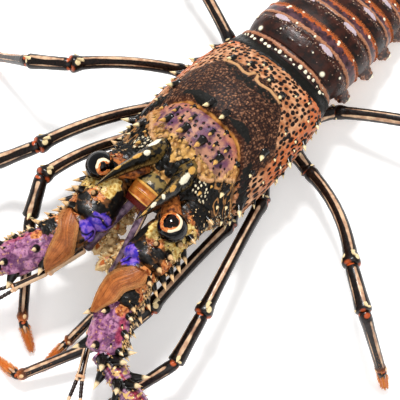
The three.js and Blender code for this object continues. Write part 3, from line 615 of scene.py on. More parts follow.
# %% Regions
wander = ripple(along_mm, across_mm + 200, 9, 3) - 0.5
before = step(along_mm, GROOVE, GROOVE - 2.5)
mauve = before * step(along_mm + 5 * wander, 19, 26) * step(degrees + 16 * wander, 48, 34)
front_net = before * (1 - mauve) * step(degrees, 60, 48)
saddle_edge = 78 - 14 * step(degrees, 20, 55) + 3 * wander
saddle = (1 - before) * step(along_mm, saddle_edge + 2, saddle_edge - 2) * step(degrees + 14 * wander, 62, 50)
network = (1 - before) * (1 - saddle) * step(degrees + 14 * wander, 112, 98)
ridges = line_distance([[19.5, 22], [16, 28], [15.6, 33], [18.8, 39], [30, 47], [38, 52]])
ridges = np.minimum(ridges, line_distance([[74.5, 30], [75.7, 18], [74, 9], [74.6, 4], [79.4, 1]]))
ridge = bell(ridges, 0, 0.9)
groove_line = bell(along_mm, GROOVE - 0.4, 1.25) * step(degrees, 112, 100)
flank = step(degrees, 62, 74) * before
rear_band = step(along_mm, 93.0, 94.6) * step(degrees, 122, 104)
for name, region in (("mauve", mauve), ("saddle", saddle), ("network", network)):
    print(name, round(100 * float(region.mean())), "% of the shield's points")

# %% [markdown]
# ## Relief of the shield
# Scattered cells give round pits in the network, domed granules in rows across the saddle, nubs before
# the groove and beads on the rear band. The relief moves each point along the surface's own normal.

# %% Relief
pit_far, pit_tag, pit_gap = cells(along_mm + 0.8 * wander, across_mm + 300, 3.2, 11, 0.66)
pit_size = 0.72 + 0.72 * pit_tag ** 1.3
pits = step(pit_far, pit_size + 0.3, pit_size - 0.15) * step(pit_gap, 0.1, 0.5) * network * (1 - rear_band)
row_far, row_tag, _ = cells(along_mm + 1.5 * wander, across_mm + 300, 1.3, 23, 0.95)
granules = step(row_far, 0.38 + 0.45 * row_tag, 0.1) * saddle * (0.15 + 0.85 * row_tag ** 2)
few_far, few_tag, _ = cells(along_mm, across_mm + 300, 4.2, 31, 0.8)
few = step(few_far, 0.45 + 0.9 * few_tag, 0.2 + 0.5 * few_tag) * step(few_tag, 0.25, 0.3)
nub_far, _, nub_gap = cells(along_mm + 2 * wander, across_mm + 300, 3.1, 41, 0.85)
nubs = step(nub_far, 1.5, 0.3) * front_net
crescent = step(nub_gap + 2.4 * (ripple(along_mm, across_mm + 200, 2.4, 19) - 0.45), 0.5, 0.0) * front_net
bead_far, bead_tag, _ = cells(along_mm, across_mm + 300, 2.1, 53, 0.5)
beads = step(bead_far, 0.85, 0.35) * step(bead_tag, 0.35, 0.5) * (0.8 * flank)
beads = np.maximum(beads, step(bead_far, 0.9, 0.4) * step(line_distance([[12, 38], [12.6, 44]]), 6, 3))
great = near_spines(shield_spines[:len(CARAPACE_SPINES)], 1.25)
small = near_spines(shield_spines[len(CARAPACE_SPINES):], 1.1)
gastric_pits = few * (mauve + 0.4 * network).clip(0, 1) * (1 - great)
relief = 0.45 * granules + 0.55 * nubs - 0.35 * crescent - 0.6 * pits - 0.4 * gastric_pits
relief = relief + 0.5 * beads + 1.0 * ridge + 0.9 * great + 0.5 * small - 0.3 * rear_band
relief = relief + 0.5 * (wander + 0.25) * (front_net + flank).clip(0, 1) + 0.25 * (1 - before) * wander
relief = relief * step(degrees, 140, 120) * step(along_mm, 0, 1.5) * step(along_mm, 100, 98.5)
shield_points = bare + normals(bare) * relief[..., None]
print("relief from", round(float(relief.min()), 2), "to", round(float(relief.max()), 2), "mm")

# %% [markdown]
# ## Paint of the shield
# The shader lays the colours one over the other, from the broad regions to the small dark pits and
# the pale granules. Black ink surrounds the spines behind the groove, gold runs along the groove, and
# painted shade darkens the saddle in front of the raised rear ridge.

# %% Shield masks
ink = np.maximum(near_spines([[81, 11, 0, 1.7], [78, 27, 0, 1.8], [56, 51, 0, 1.6], [46, 77, 0, 1.8]], 1.5),
                 rear_band)
ink = np.maximum(ink, step(line_distance([[47.5, 7], [48, 36]]) + 5 * wander, 3.4, 1.6) * (1 - before))
# Painted shade: a ragged dark band, at half strength, on the saddle in front of the raised rear ridge.
ink = np.maximum(ink, 0.55 * step(line_distance([[76, 30], [73, 12], [70, 2]]) + 6 * wander, 6, 1) * saddle)
ink = np.maximum(ink, step(line_distance([[4, 34], [13, 45], [30, 60], [30, 80]]), 9, 5) * before)
ink = np.maximum(ink, bell(line_distance([[47.5, 52], [47.5, 74]]), 0, 3.2))
ink = np.maximum(ink, step(line_distance([[8, 8], [14, 16]]), 5, 3)) * (1 - ridge)
ember = step(degrees + 8 * wander, 54, 64) * step(degrees + 8 * wander, 96, 82)
ember = ember * step(along_mm + 6 * wander, 52, 62)
ember = np.maximum(ember, bell(line_distance([[93, 50], [99, 66]]), 0, 5))
ember = np.maximum(ember, bell(line_distance([[40, 26], [39, 48]]), 0, 3.5) * 0.4)
purple = near_spines([[27.7, 11, 0, 3], [28.4, 31, 0, 3], [36, 12, 0, 2.2], [35, 30, 0, 2.2]], 1.6) * mauve
veins = ridged(along_mm / 5, across_mm / 4 + 90, 67) * before * step(degrees, 34, 44) * (1 - great)
shield = Form()
shield.grid(shield_points, mauve=mauve, front=front_net, saddle=saddle, network=network, ridge=ridge,
            groove=groove_line, pit=np.maximum(pits, gastric_pits), grain=granules, nub=nubs, bead=beads,
            crescent=crescent, ink=ink, ember=ember, purple=purple, great=great, flank=flank, vein=veins)

# %% Shield paint
paint = Finish("shield")
fine, broad, patch = paint.noise(0.9, 3.0), paint.noise(5.0, 3.0), paint.noise(2.2, 4.0)
ragged = 2.2 * (patch - 0.5)
paint.lay("3a2416", "7d5a3a", fine)
paint.lay("8a5a28", "d0a058", broad.above(0.35, 0.65), where=paint.zone("front", 0.3, 0.6, ragged))
paint.lay("6e4256", "b48068", broad.above(0.35, 0.6), where=paint.zone("mauve", 0.3, 0.6, ragged))
paint.lay("462c50", where=paint.zone("purple", 0.3, 0.8, ragged) * 0.8)
paint.lay("0c0403", "331509", fine.above(0.35, 0.7), where=paint.zone("saddle", 0.35, 0.65, ragged))
paint.lay("a4643c", "dea67c", broad.above(0.35, 0.65),
          where=(paint.mask("network") + 0.6 * ragged).above(0.35, 0.65))
paint.lay("a84a1c", "e88248", fine,
          where=paint.mask("ember") * (0.45 + 0.55 * paint.noise(3.0).above(0.3, 0.55)))
paint.lay("0e0b07", "9a6a38", patch.above(0.5, 0.6), where=paint.mask("flank"))
paint.lay("e2b478", where=paint.mask("nub") * fine.above(0.35, 0.6) * 0.8)
paint.lay("3e1c10", "b47e5c", fine.above(0.3, 0.7), where=(paint.mask("grain") * 1.4).clamp())
inked = paint.mask("ink") + 0.7 * ragged - 0.9 * paint.mask("flank") * patch.above(0.52, 0.64)
paint.lay("040403", "12110b", fine, where=inked.above(0.35, 0.6))
paint.lay("8a5226", "d09a5c", fine, where=(paint.mask("vein") + 0.4 * ragged).above(0.35, 0.7) * 0.9)
paint.lay("8a4f1c", "bd8440", broad.above(0.35, 0.65),
          where=(paint.mask("groove") + 0.5 * ragged).above(0.25, 0.7))
paint.lay("a87446", "d6a878", fine, where=paint.zone("ridge", 0.2, 0.6))
paint.lay("1e120a", where=paint.mask("crescent") * 0.85)
paint.lay("0c0504", "2c110a", fine.above(0.4, 0.7), where=paint.zone("pit", 0.15, 0.6))
paint.lay("efe0bc", where=paint.zone("bead", 0.3, 0.8))
paint.lay("0c0807", where=paint.zone("great", 0.45, 0.8))
gleam = 0.22 + 0.2 * paint.noise(1.2, 2.0) + 0.2 * paint.mask("saddle")
shield_finish = paint.shell(gleam, paint.noise(0.45, 3.0), 0.16, gloss=0.2)
shield.piece("carapace_shell", shield_finish, ["carapace"], "carapace")

# %% [markdown]
# ## Spines of the shield
# A crayfish spine is no straight cone: it has a broad dark foot, bends forward and ends in a pale horny
# point. All are grown as one mesh, and a mask that runs from foot to tip gives the change of colour.

# %% Shield spines
def spine_finish(name, foot, shaft, tip, start=0.55, end=0.72):
    """Dark at the foot and shaft, pale at the point."""
    paint = Finish(name)
    along, streak = paint.mask("spine"), paint.noise(0.8, 2.0)
    paint.lay(foot, shaft, along.above(0.05, 0.3))
    horn, point = paint.mix(streak, "c07828", tip), paint.mix(streak, tip, "fbeecb")
    paint.lay(horn, point, paint.mask("pale"), where=(along + 0.12 * streak).above(start, end))
    return paint.shell(0.22, paint.noise(0.5, 2.0), 0.05, coat=0.12)


spikes = Form()
for side, _ in SIDES:
    turns = np.radians(shield_spines[:, 1]) * side
    roots = carapace_at(shield_spines[:, 0], turns)
    lean = np.where(shield_spines[:, 1] > 60, 0.9, 1.3)
    ways = carapace_out(shield_spines[:, 0], turns) - np.array([0, 1, 0]) * lean[:, None]
    pale = 1.0 - (shield_spines[:, 0] < GROOVE) * (shield_spines[:, 1] < 50)
    grow_spines(spikes, roots, ways, shield_spines[:, 2], shield_spines[:, 3], lean=(0, 0.3, 1), bend=0.1,
                sides=14, rings=14, pale=pale)
shield_spine_finish = spine_finish("shield_spine", "0a0706", "14100c", "e6c274")
spikes.piece("carapace_spines", shield_spine_finish, [], "carapace")

# %% [markdown]
# ## Limb parts
# A crayfish limb is a chain of stiff tubes, each a little swollen at its far end where the next one
# is hinged. One helper makes such a part between two joints, and writes down where each point lies
# along and around it, so that stripes and bands can follow the limb.

# %% Limb parts
def straight(start, end, profile, rings, bow=0.0, rise=0.0, flat=1.0):
    """A limb part between two joints, with its thickness keyed along it and a slight arch."""
    start, end = np.array(start, float), np.array(end, float)
    first, last = profile[0][0], profile[-1][0]
    even = np.linspace(0, 1, rings)
    share = first + (last - first) * (0.5 * even + 0.5 * (0.5 - 0.5 * np.cos(math.pi * even)))
    back = unit(np.cross(end - start, UP))
    back = back * (np.sign(back[1]) or 1)
    curve = np.maximum(4 * share * (1 - share), 0)
    middle = start + (end - start) * share[:, None]
    middle = middle + back * (bow * curve)[:, None] + UP * (rise * curve)[:, None]
    return follow(middle, keyed(profile)(share), share, flat)


def follow(middle, radius, share, flat=1.0):
    """The frames along a line of middles."""
    along = unit(np.gradient(middle, axis=0))
    across = unit(np.cross(UP, along))
    return {"at": middle, "wide": radius, "high": radius * flat, "share": share, "along": along,
            "across": across, "over": np.cross(along, across)}


def carve(path, sides, relief=None, **masks):
    """The points and masks of a tube. The relief and masks are functions of share and turn."""
    points, turn = tube(path, sides)
    share, turn = path["share"][:, None] + 0 * turn[None, :], turn[None, :] + 0 * path["share"][:, None]
    if relief is not None:
        points = points + unit(points - path["at"][:, None]) * relief(share, turn)[..., None]
    return points, {name: mask(share, turn) for name, mask in masks.items()}


# %% Places on a limb
def at_share(path, share):
    """The middles, frames and half sizes at places along a path."""
    share, known = np.atleast_1d(share), path["share"]
    frames = [np.stack([np.interp(share, known, path[key][:, k]) for k in range(3)], 1)
              for key in ("at", "along", "across", "over")]
    return frames + [np.interp(share, known, path[key]) for key in ("wide", "high")]


def on_tube(path, share, turn, sink):
    """Points on a tube's skin and their outward ways."""
    at, along, across, over, wide, high = at_share(path, share)
    c, s = np.cos(turn)[:, None], np.sin(turn)[:, None]
    out = across * c + over * s
    return at + (across * c * wide[:, None] + over * s * high[:, None]) * sink, out, along


def turned(angle, side):
    """A turn round a limb from degrees counted from its outer side up over the top."""
    angle = math.radians(angle)
    return angle if side > 0 else math.pi - angle


def near_angle(turn, angle, reach):
    """A soft mask round one turn."""
    return bell(np.abs((turn - angle + math.pi) % TURN - math.pi), 0, reach)


# %% [markdown]
# ## Bristles
# Setae fringe the toes, the feelers and the tail. Each is a solid three-sided spike, not a strip, and
# its patch of the bake map lies where its root lies on the skin, so the colour follows the limb.

# %% Bristles
PATCH = 0.003


def grow_bristles(form, roots, ways, lengths, radius, uv, lean=(0, 0, -1), bend=0.15, **masks):
    """Thin bent spikes with three sides and three rings."""
    sides, rings = 3, 3
    grow_spines(form, roots, ways, lengths, radius, lean=lean, bend=bend, sides=sides, rings=rings, **masks)
    patch = np.meshgrid(np.arange(rings) / rings, np.arange(sides) / sides, indexing="ij")
    patch = np.stack(patch, -1).reshape(1, -1, 2) * PATCH
    form.maps[-1] = (np.reshape(uv, (-1, 1, 2)) * 0.99 + patch).reshape(-1, 2)


def bristle_finish(name, root, tip):
    """Root coloured at the foot, and paler towards the point."""
    paint = Finish(name)
    paint.lay(root, tip, paint.zone("spine", 0.0, 0.9))
    paint.lay(root, where=paint.noise(2.0).above(0.4, 0.7) * 0.3)
    return paint.shell(0.45)


# %% [markdown]
# ## Walking legs
# Ten slender legs. Each is painted almost black, with two pale lengthwise stripes, cream knobs and a
# red hinge at the joints, and an orange bristly toe. Stripes are masks of the turn round the limb,
# counted from its rear side over the top.

# %% Leg measures
LEG_ROOTS = [[14, 35, 20], [18, 49, 19], [22, 63, 19], [25, 77, 19], [24, 91, 20]]
LEG_LENGTHS = [[32, 44, 17, 36, 20], [37, 66, 23, 55, 20], [30, 76, 28, 57, 20], [24, 72, 26, 42, 15],
               [23, 64, 20, 42, 16]]
# Each leg: its parts' turns outward from straight ahead, its joints' heights, and the merus's bow.
LEG_STANCE = {
    "left": [
        [[7, 6, -12, -8, -4], [17, 25, 20, 5], 0], [[30, 2, -11, -28, -86], [17, 24, 19, 8], 0],
        [[39, 16, 13, -18, 10], [18, 26, 23, 8], 0], [[76, 56, 51, 74, 73], [18, 44, 48, 14], 4.5],
        [[152, 112, 122, 132, 138], [17, 36, 30, 9], 0]],
    "right": [
        [[25, -12, 10, 55, 20], [17, 25, 20, 5], 0], [[38, 7, -21, -39, -57], [16, 46, 33, 16], 2],
        [[47, 17, 40, 5, 0], [17, 41, 28, 9], 2.5], [[80, 35, 61, 86, 60], [16, 47, 41, 14], 2],
        [[131, 108, 115, 130, 135], [17, 34, 28, 9], 0]],
}
# Radius keyed along each part.
LEG_PARTS = [
    [[0, 6.2], [0.35, 6.2], [0.55, 4.4], [0.9, 4.0], [0.98, 4.6], [1.03, 3.2]],
    [[-0.03, 2.6], [0.0, 3.6], [0.04, 4.3], [0.12, 3.7], [0.5, 3.5], [0.88, 3.8], [0.96, 4.8], [0.99, 4.6],
     [1.0, 3.4]],
    [[-0.06, 2.2], [0.0, 3.3], [0.12, 3.7], [0.6, 3.9], [0.9, 4.3], [0.98, 4.0], [1.0, 2.8]],
    [[-0.03, 2.0], [0.0, 2.8], [0.06, 3.3], [0.3, 3.0], [0.9, 2.7], [0.97, 2.9], [1.0, 2.0]],
    [[-0.04, 1.6], [0.04, 2.3], [0.2, 2.4], [0.75, 1.7], [0.93, 1.2], [1.0, 0.25]],
]
HIP, MERUS, CARPUS, PROPODUS, DACTYL = range(5)


def leg_joints(word, pair):
    """The joints of one leg, from its root to its toe."""
    side = 1 if word == "left" else -1
    turns, heights, _ = LEG_STANCE[word][pair]
    x, y, z = LEG_ROOTS[pair]
    joints = [np.array([x * side, y, z], float)]
    for i, length in enumerate(LEG_LENGTHS[pair]):
        height, last = (heights + [1.0])[i], joints[-1]
        run = math.sqrt(max(length ** 2 - (height - last[2]) ** 2, 1))
        turn = math.radians(turns[i])
        joints.append(np.array([last[0] + side * run * math.sin(turn), last[1] - run * math.cos(turn),
                                height]))
    return joints


# %% Leg finish
paint = Finish("leg")
fine = paint.noise(1.2, 3.0)
paint.lay("070504", "24130e", fine.above(0.35, 0.75))
paint.lay("2a1410", "54302a", fine, where=paint.mask("low") * 0.9)
paint.lay("b08468", "e4c09c", paint.noise(4.0).above(0.3, 0.7),
          where=(paint.mask("stripe") + 0.25 * paint.noise(2.5) - 0.12).above(0.35, 0.6))
paint.lay("a02c12", "d06a30", fine, where=paint.zone("ember", 0.3, 0.7))
paint.lay("efd6a4", where=(paint.mask("knob") + 0.2 * fine).above(0.55, 0.75))
paint.lay("b4511a", "e07a2a", fine, where=paint.zone("toe", 0.2, 0.8))
paint.lay("2a120a", where=paint.zone("claw", 0.5, 0.8))
leg_finish = paint.shell(0.22 + 0.15 * fine, paint.noise(0.6, 3.0), 0.05, coat=0.08)
toe_hair = bristle_finish("toe_bristle", "c05a18", "f09a48")

# %% Leg patterns
KNEE_SPINES = {MERUS: [[0.93, 80, 3.6, 1.5], [0.93, 150, 2.6, 1.2]], CARPUS: [[0.9, 80, 3.6, 1.5]]}


def leg_masks(word, pair, part, flipped):
    """Functions of share and turn for one part of a leg."""
    wide, narrow = (148, 82) if (word, pair) == ("left", 4) else (84, 150)

    def stripe(share, turn):
        turn = (math.pi - turn if flipped else turn) % TURN
        upper = near_angle(turn, math.radians(wide), 0.31)
        lower = 0.8 * near_angle(turn, math.radians(narrow), 0.16)
        edges = step(share, 0.03, 0.12) * step(share, 0.96, 0.88)
        return (upper + lower) * edges * (0.8 + 0.2 * np.sin(share * 9 + pair))

    def ember(share, turn):
        hinge = bell(share, 0.0, 0.035) + 0.7 * bell(share, 1.0, 0.03)
        return hinge.clip(0, 1) * (1.0 if part > HIP else 0.8) * (0.6 + 0.4 * np.sin(3 * turn + part))

    def knob(share, turn):
        spots = near_angle(turn, math.radians(60), 0.4) + near_angle(turn, math.radians(175), 0.35)
        return bell(share, 0.955, 0.03) * (spots + near_angle(turn, math.radians(300), 0.3)) * (part < DACTYL)

    def low(share, turn):
        return near_angle(turn, math.radians(270), 1.0)

    def toe(share, turn):
        return step(share, 0.1, 0.5) * (part == DACTYL) + step(share, 0.75, 1.1) * (part == PROPODUS) * 0.7

    def claw(share, turn):
        return step(share, 0.93, 0.97) * (part == DACTYL)

    return {"stripe": stripe, "ember": ember, "knob": knob, "low": low, "toe": toe, "claw": claw}


def toe_bristles(hair, path, toe):
    """Six rows of bristles along a toe, or hairs about the far end of the part before it."""
    count = 950 if toe else 200
    share = rng.uniform(0.12, 0.97, count) if toe else 1 - 0.4 * rng.random(count) ** 2
    ring = rng.integers(0, 6, count) * math.pi / 3 + rng.normal(0, 0.14, count)
    root, out, along = on_tube(path, share, ring, 0.9)
    size = (2.6 if toe else 1.8) * rng.uniform(0.7, 1.1, count) * (1 - 0.35 * share)
    keep = root[:, 2] + size * (out * 0.7 + along)[:, 2] > 0.3
    uv = np.stack([share * 0.4 + (0.5 if toe else 0.0), (ring % TURN) / TURN], 1)
    grow_bristles(hair, root[keep], (out + 1.3 * along)[keep], size[keep], 0.14, uv[keep], lean=(0, 0, 0.3))


# %% Legs
rng = np.random.default_rng(11)
for side, word in SIDES:
    for pair in range(5):
        joints, bow = leg_joints(word, pair), LEG_STANCE[word][pair][2]
        hair = Form()
        for group, parts in (("upper", (HIP, MERUS)), ("lower", (CARPUS, PROPODUS, DACTYL))):
            form = Form()
            for part in parts:
                start, end = joints[part:part + 2]
                long = np.linalg.norm(end - start)
                curve = (bow, 2.5) if part == MERUS else (0, 0)
                path = straight(start, end, LEG_PARTS[part], int(30 + long), *curve, flat=1.08)
                masks = leg_masks(word, pair, part, path["across"][0][1] <= 0)

                def bumps(share, turn):
                    lumps = 0.16 * (ripple(share * long / 1.4, turn * 5 + 40, 1.0, pair * 7 + part) - 0.5)
                    return lumps + 0.5 * masks["knob"](share, turn) + 0.22 * masks["stripe"](share, turn)

                points, masks = carve(path, 34, bumps, **masks)
                form.grid(points, **masks)
                if part in KNEE_SPINES:
                    shares, turns, lengths, radii = np.array(KNEE_SPINES[part]).T
                    root, out, along = on_tube(path, shares, np.radians(turns), 0.9)
                    grow_spines(form, root, out + along, lengths, radii, lean=(0, 0, 1), bend=0.1, knob=1.0)
                if part in (PROPODUS, DACTYL):
                    toe_bristles(hair, path, part == DACTYL)
            leg = "leg_%s_%d" % (word, pair + 1)
            form.piece("%s_%s_shell" % (leg, group), leg_finish, ["%s_%s" % (leg, group)], "leg_" + group)
        hair.piece(leg + "_toe_bristles", toe_hair, [], "leg_lower", "OFBake")

# %% [markdown]
# ## Tail rings
# Six rings of shell overlap like roof tiles. Each carries a soft cross groove and an orange-haired
# rear edge, dark purple fields with cream beads, and pale oblong marks beside the middle. The real
# marks lie at measured places along the tail, so the masks are written in those millimetres.

# %% Tail shape
SEGMENT_EDGES = [99, 107, 131, 152, 171, 187, 200]
tail_middle = keyed([[99, 0], [136, -0.5], [165, 0.5], [200, 2]])
tail_width = keyed([[99, 31.5], [112, 33], [124, 33.5], [140, 33], [157, 31], [180, 27], [200, 22]])
tail_top = keyed([[99, 51], [117, 55], [136, 52.5], [155, 46.5], [172, 39.5], [200, 27]])
tail_waist = keyed([[99, 33], [136, 28], [172, 20], [200, 15.5]])
tail_bottom = keyed([[99, 25], [136, 19], [172, 12], [200, 9.5]])
ring_profile = keyed([[0, 0.94], [0.25, 0.985], [0.45, 1], [0.52, 0.975], [0.62, 1], [0.94, 1.008],
                      [1, 0.975]])
fin_shape = keyed([[0, 0.42], [0.3, 0.74], [0.75, 1], [1, 0.84]])
CROSS_GROOVE = 0.5


def tail_at(y, turn, share):
    """The tail's skin at y and a turn; share draws it in."""
    waist = tail_waist(y)
    return arch(turn, tail_middle(y), y, tail_width(y) * share, waist + (tail_top(y) - waist) * share,
                waist, tail_bottom(y), 2.25, 3)


# %% Fins
def fin_reach(length, t, u):
    """How far a fin's row lies from its root; the rows curve back towards the sides."""
    return length * t * (1 - 0.16 * u * u * t)


def blade(form, root, heading, droop, length, width, thickness, rays, bow=0.0, rows=66, columns=48, **masks):
    """A flat fin: an upper and a lower face joined round the rim, with raised rays."""
    level = math.cos(droop)
    along = np.array([math.sin(heading) * level, math.cos(heading) * level, -math.sin(droop)])
    across = unit(np.cross(along, UP))
    over = np.cross(across, along)
    t = np.linspace(0, 1, rows)[:, None]
    angle = np.linspace(0, TURN, columns * 2, endpoint=False)[None, :]
    u, face = np.cos(angle), np.sign(np.sin(angle)) * np.abs(np.sin(angle)) ** 0.4
    ray = (0.5 - 0.5 * np.cos(math.pi * rays * (u + 1))) ** 3
    lift = face * thickness / 2 * (1 - 0.35 * t) + np.where(face > 0, 0.5 * ray * step(t, 1.0, 0.8), 0)
    lift = lift + bow * (1 - u * u) + 0.12 * np.sin(70 * t + 3 * u) * step(t, 0.45, 0.6)
    points = np.array(root, float) + along * fin_reach(length, t, u)[..., None]
    points = points + across * (width * fin_shape(t) * u)[..., None] + over * lift[..., None]
    form.grid(points[:, ::-1], along=t, ray=ray[:, ::-1], **masks)
    return along, across


def fringe(hair, root, ways, length, width, count, long):
    """Bristles round the free edge of a blade."""
    along, across = ways
    u, t = rng.uniform(-1, 1, count), np.ones(count)
    rim = rng.random(count) < 0.5
    t[rim], u[rim] = rng.uniform(0.45, 1, rim.sum()), np.sign(u[rim])
    at = np.array(root, float) + along * (fin_reach(length, t, u) * 0.985)[:, None]
    at = at + across * (width * fin_shape(t) * u * 0.97)[:, None]
    way = along + across * (u * np.where(rim, 1.0, 0.3))[:, None]
    uv = np.stack([t * 0.3 + 0.3, u * 0.4 + 0.5], 1)
    grow_bristles(hair, at, way, rng.uniform(0.6, 1.0, count) * long, 0.13, uv)


# %% Tail finish
paint = Finish("tail")
fine, broad = paint.noise(0.9, 3.0), paint.noise(4.0, 3.0)
ragged = 1.8 * (paint.noise(1.8, 4.0) - 0.5)
paint.lay("200e0a", "48241a", broad.above(0.35, 0.65))
paint.lay("2a161c", "56363e", broad.above(0.35, 0.65), where=paint.zone("plum", 0.35, 0.65, ragged))
paint.lay("140805", "36160c", broad.above(0.35, 0.65), where=paint.zone("soot", 0.3, 0.7, ragged))
paint.lay("7a3c22", "c08a66", fine, where=paint.zone("salmon", 0.3, 0.7, ragged))
paint.lay("8a3410", "cc6a2c", fine, where=paint.zone("ember", 0.3, 0.7, ragged))
paint.lay("a08a94", "d0c2ca", fine, where=paint.zone("lilac", 0.35, 0.6, ragged))
paint.lay("8a6450", "cdb296", fine, where=paint.zone("speck", 0.3, 0.7))
paint.lay("f6eed2", where=paint.zone("pearl", 0.35, 0.7))
paint.lay("b07a50", "dcb48c", broad.above(0.3, 0.7), where=paint.mask("under"))
tail_finish = paint.shell(0.27 + 0.18 * fine, paint.noise(0.6, 3.0), 0.08, gloss=0.22, coat=0.04)
tail_hair = bristle_finish("tail_bristle", "7a2c0c", "c46a30")

# %% Ring patterns
# Place along the tail, degrees from the crest and radius.
PEARLS = [
    [108.5, 42, 2.4], [116, 62, 1.0], [129, 29, 1.3], [130, 13, 1.1], [127.5, -30, 1.1], [121, -9, 0.9],
    [149, 48, 1.5], [149, 20, 1.0], [130, 57, 1.2], [113, 18, 0.8], [111, 5, 0.7], [151, 62, 1.1],
    [168, 44, 1.3], [169, 15, 1.0], [184, 40, 1.1],
]


def ring_patterns(index, first, rear, groove_y, skin, y, around, angle):
    """The relief and the masks of one ring. Its grid is given by y, millimetres around and degrees."""
    wave = ripple(y, around + 300, 8, 60 + index) - 0.5
    above = step(angle, 112, 98)
    far, tag, _ = cells(y, around + 400, 1.9, 61 + index, 0.8)
    speck = step(far, 0.22 + 0.3 * tag, 0.12) * step(tag, 0.8, 0.9) * above * step(wave, -0.1, 0.15)
    pearl, lilac = np.zeros_like(y), np.zeros_like(y)
    spots = [spot for spot in PEARLS if first <= spot[0] <= rear]
    for way, _ in SIDES:
        for spot_y, spot_turn, size in spots:
            spot = tail_at(np.array(float(spot_y)), np.array(math.radians(spot_turn * way)), 1.0)
            pearl = np.maximum(pearl, bell(np.linalg.norm(skin - spot, axis=-1), 0, size * 0.95))
    if index:
        lip = bell(y, groove_y + 0.5, 0.9) * above
        salmon = bell(y + 0.8 * wave, groove_y + 3.0, 1.1) * above
        far, tag, _ = cells(y - groove_y, around + 400, 1.5, 90 + index, 0.6)
        beads = step(far, 0.6, 0.25) * step(tag, 0.35, 0.6) * bell(y, groove_y - 0.8, 2.0) * above
        soot = step(y + 3 * wave, groove_y + 1, groove_y - 6) * above
        ember = bell(y, rear, 3.2) * above
        for way, _ in SIDES:
            aside = skin - tail_at(np.array(groove_y + 1.0), np.array(math.radians(26 * way)), 1.0)
            oval = np.hypot(aside[..., 1] / 1.6, np.hypot(aside[..., 0], aside[..., 2]) / 5.6)
            lilac = np.maximum(lilac, step(oval, 1.25, 0.6))
    else:
        lip, soot, ember = 0 * y, above, 0 * y
        salmon = bell(y + 0.7 * wave, 104.2, 1.0) * above
        far, tag, _ = cells(y - 100.1, around + 400, 3.5, 8, 0.42)
        beads = step(far, 0.6 + 0.9 * tag, 0.4 + 0.6 * tag) * step(np.abs(y - 101.9), 2.3, 1.7) * above
    relief = 0.45 * speck + 0.55 * beads + 0.9 * pearl + 0.2 * lilac + 0.35 * lip + 0.4 * salmon + 0.25 * wave
    relief = relief * step(angle, 150, 125) * step(y, first, first + 1)
    speck, pearl = (np.maximum(speck, beads), pearl) if index else (speck, np.maximum(pearl, beads))
    plum, under = step(y, groove_y + 1, groove_y + 5) * above, step(angle, 118, 135)
    return relief, {"speck": speck, "pearl": pearl, "lilac": lilac, "soot": soot, "ember": ember,
                    "salmon": salmon, "plum": plum, "under": under}


# %% What grows on a ring
# Outward, backward, up, share of the length downward, half width and half height.
PLATE_STATIONS = [
    [-2, -1, 4, 0, 5.4, 2.3], [1.6, 0.5, 0, 0.3, 4.0, 1.8], [3.6, 2.4, 0, 0.6, 2.5, 1.3],
    [4.8, 4.6, 0, 0.8, 1.2, 0.8], [5.2, 6.2, 0, 0.86, 0.15, 0.15],
]
rng = np.random.default_rng(3)


def ring_bristles(hair, first, rear, groove_y):
    """A dense row of hairs at the rear edge, and a thinner one behind the cross groove."""
    for row_y, long, count in ((rear - 1.0, 2.0, 1700), (groove_y + 0.3, 1.3, 700)):
        spots = rng.uniform(-105, 105, count)
        spot_y = np.minimum(row_y + rng.normal(0, 0.45, count), rear - 0.3)
        part = (spot_y - first) / (rear - first)
        root = tail_at(spot_y, np.radians(spots), ring_profile(part))
        out = unit(tail_at(spot_y, np.radians(spots), ring_profile(part) * 1.05) - root)
        lengths = rng.uniform(0.6, 1.0, count) * long
        lengths = np.where(spot_y + lengths > rear + 1.6, 1.2, lengths)
        uv = np.stack([part * 0.5, spots / 220 + 0.5], 1)
        grow_bristles(hair, root - 0.25 * out, out * 0.55 + np.array([0, 1, 0]), lengths, 0.13, uv,
                      lean=(0, 0.2, -1))


# %% Side plates and swimmerets
def side_plate(form, hair, root, side, long):
    """The hooked plate at the side of a ring, with a toothed edge, a pale point and its fringe."""
    path = route([[root[0] + out * side, root[1] + back, root[2] + up - long * down, wide, high]
                  for out, back, up, down, wide, high in PLATE_STATIONS], 50)
    path["across"] = unit(np.cross(np.array([side, 0, 0.0]), path["along"]))
    path["over"] = np.cross(path["along"], path["across"])

    def teeth(share, turn):
        ends = step(share, 0.25, 0.4) * step(share, 0.95, 0.8)
        return 0.9 * np.abs(np.sin(share * 14)) * step(np.abs(np.cos(turn)), 0.6, 1) * ends

    points, masks = carve(
        path, 32, teeth, pearl=lambda share, turn: step(share, 0.74, 0.84),
        salmon=lambda share, turn: 0.2 + 0.35 * step(share, 0.2, 0.6) * np.abs(np.cos(turn)),
        soot=lambda share, turn: step(share, 0.4, 0.1) * 0.5)
    form.grid(points, **masks)
    count = 160
    share = rng.uniform(0.25, 0.8, count)
    turn = np.where(rng.random(count) < 0.5, 0, math.pi) + rng.normal(0, 0.35, count)
    root, out, along = on_tube(path, share, turn, 0.9)
    uv = np.stack([share * 0.3 + 0.6, (turn % TURN) / TURN], 1)
    grow_bristles(hair, root, out + 0.8 * along, rng.uniform(1.0, 2.0, count), 0.12, uv)


def swimmeret(form, hair, foot, side):
    """The leaf-shaped limb below a ring."""
    ways = blade(form, foot, 0.15 * side, 0.42, 15, 5, 1.4, rays=3, rows=40, columns=30, under=1.0)
    fringe(hair, foot, ways, 15, 5, 120, 1.8)


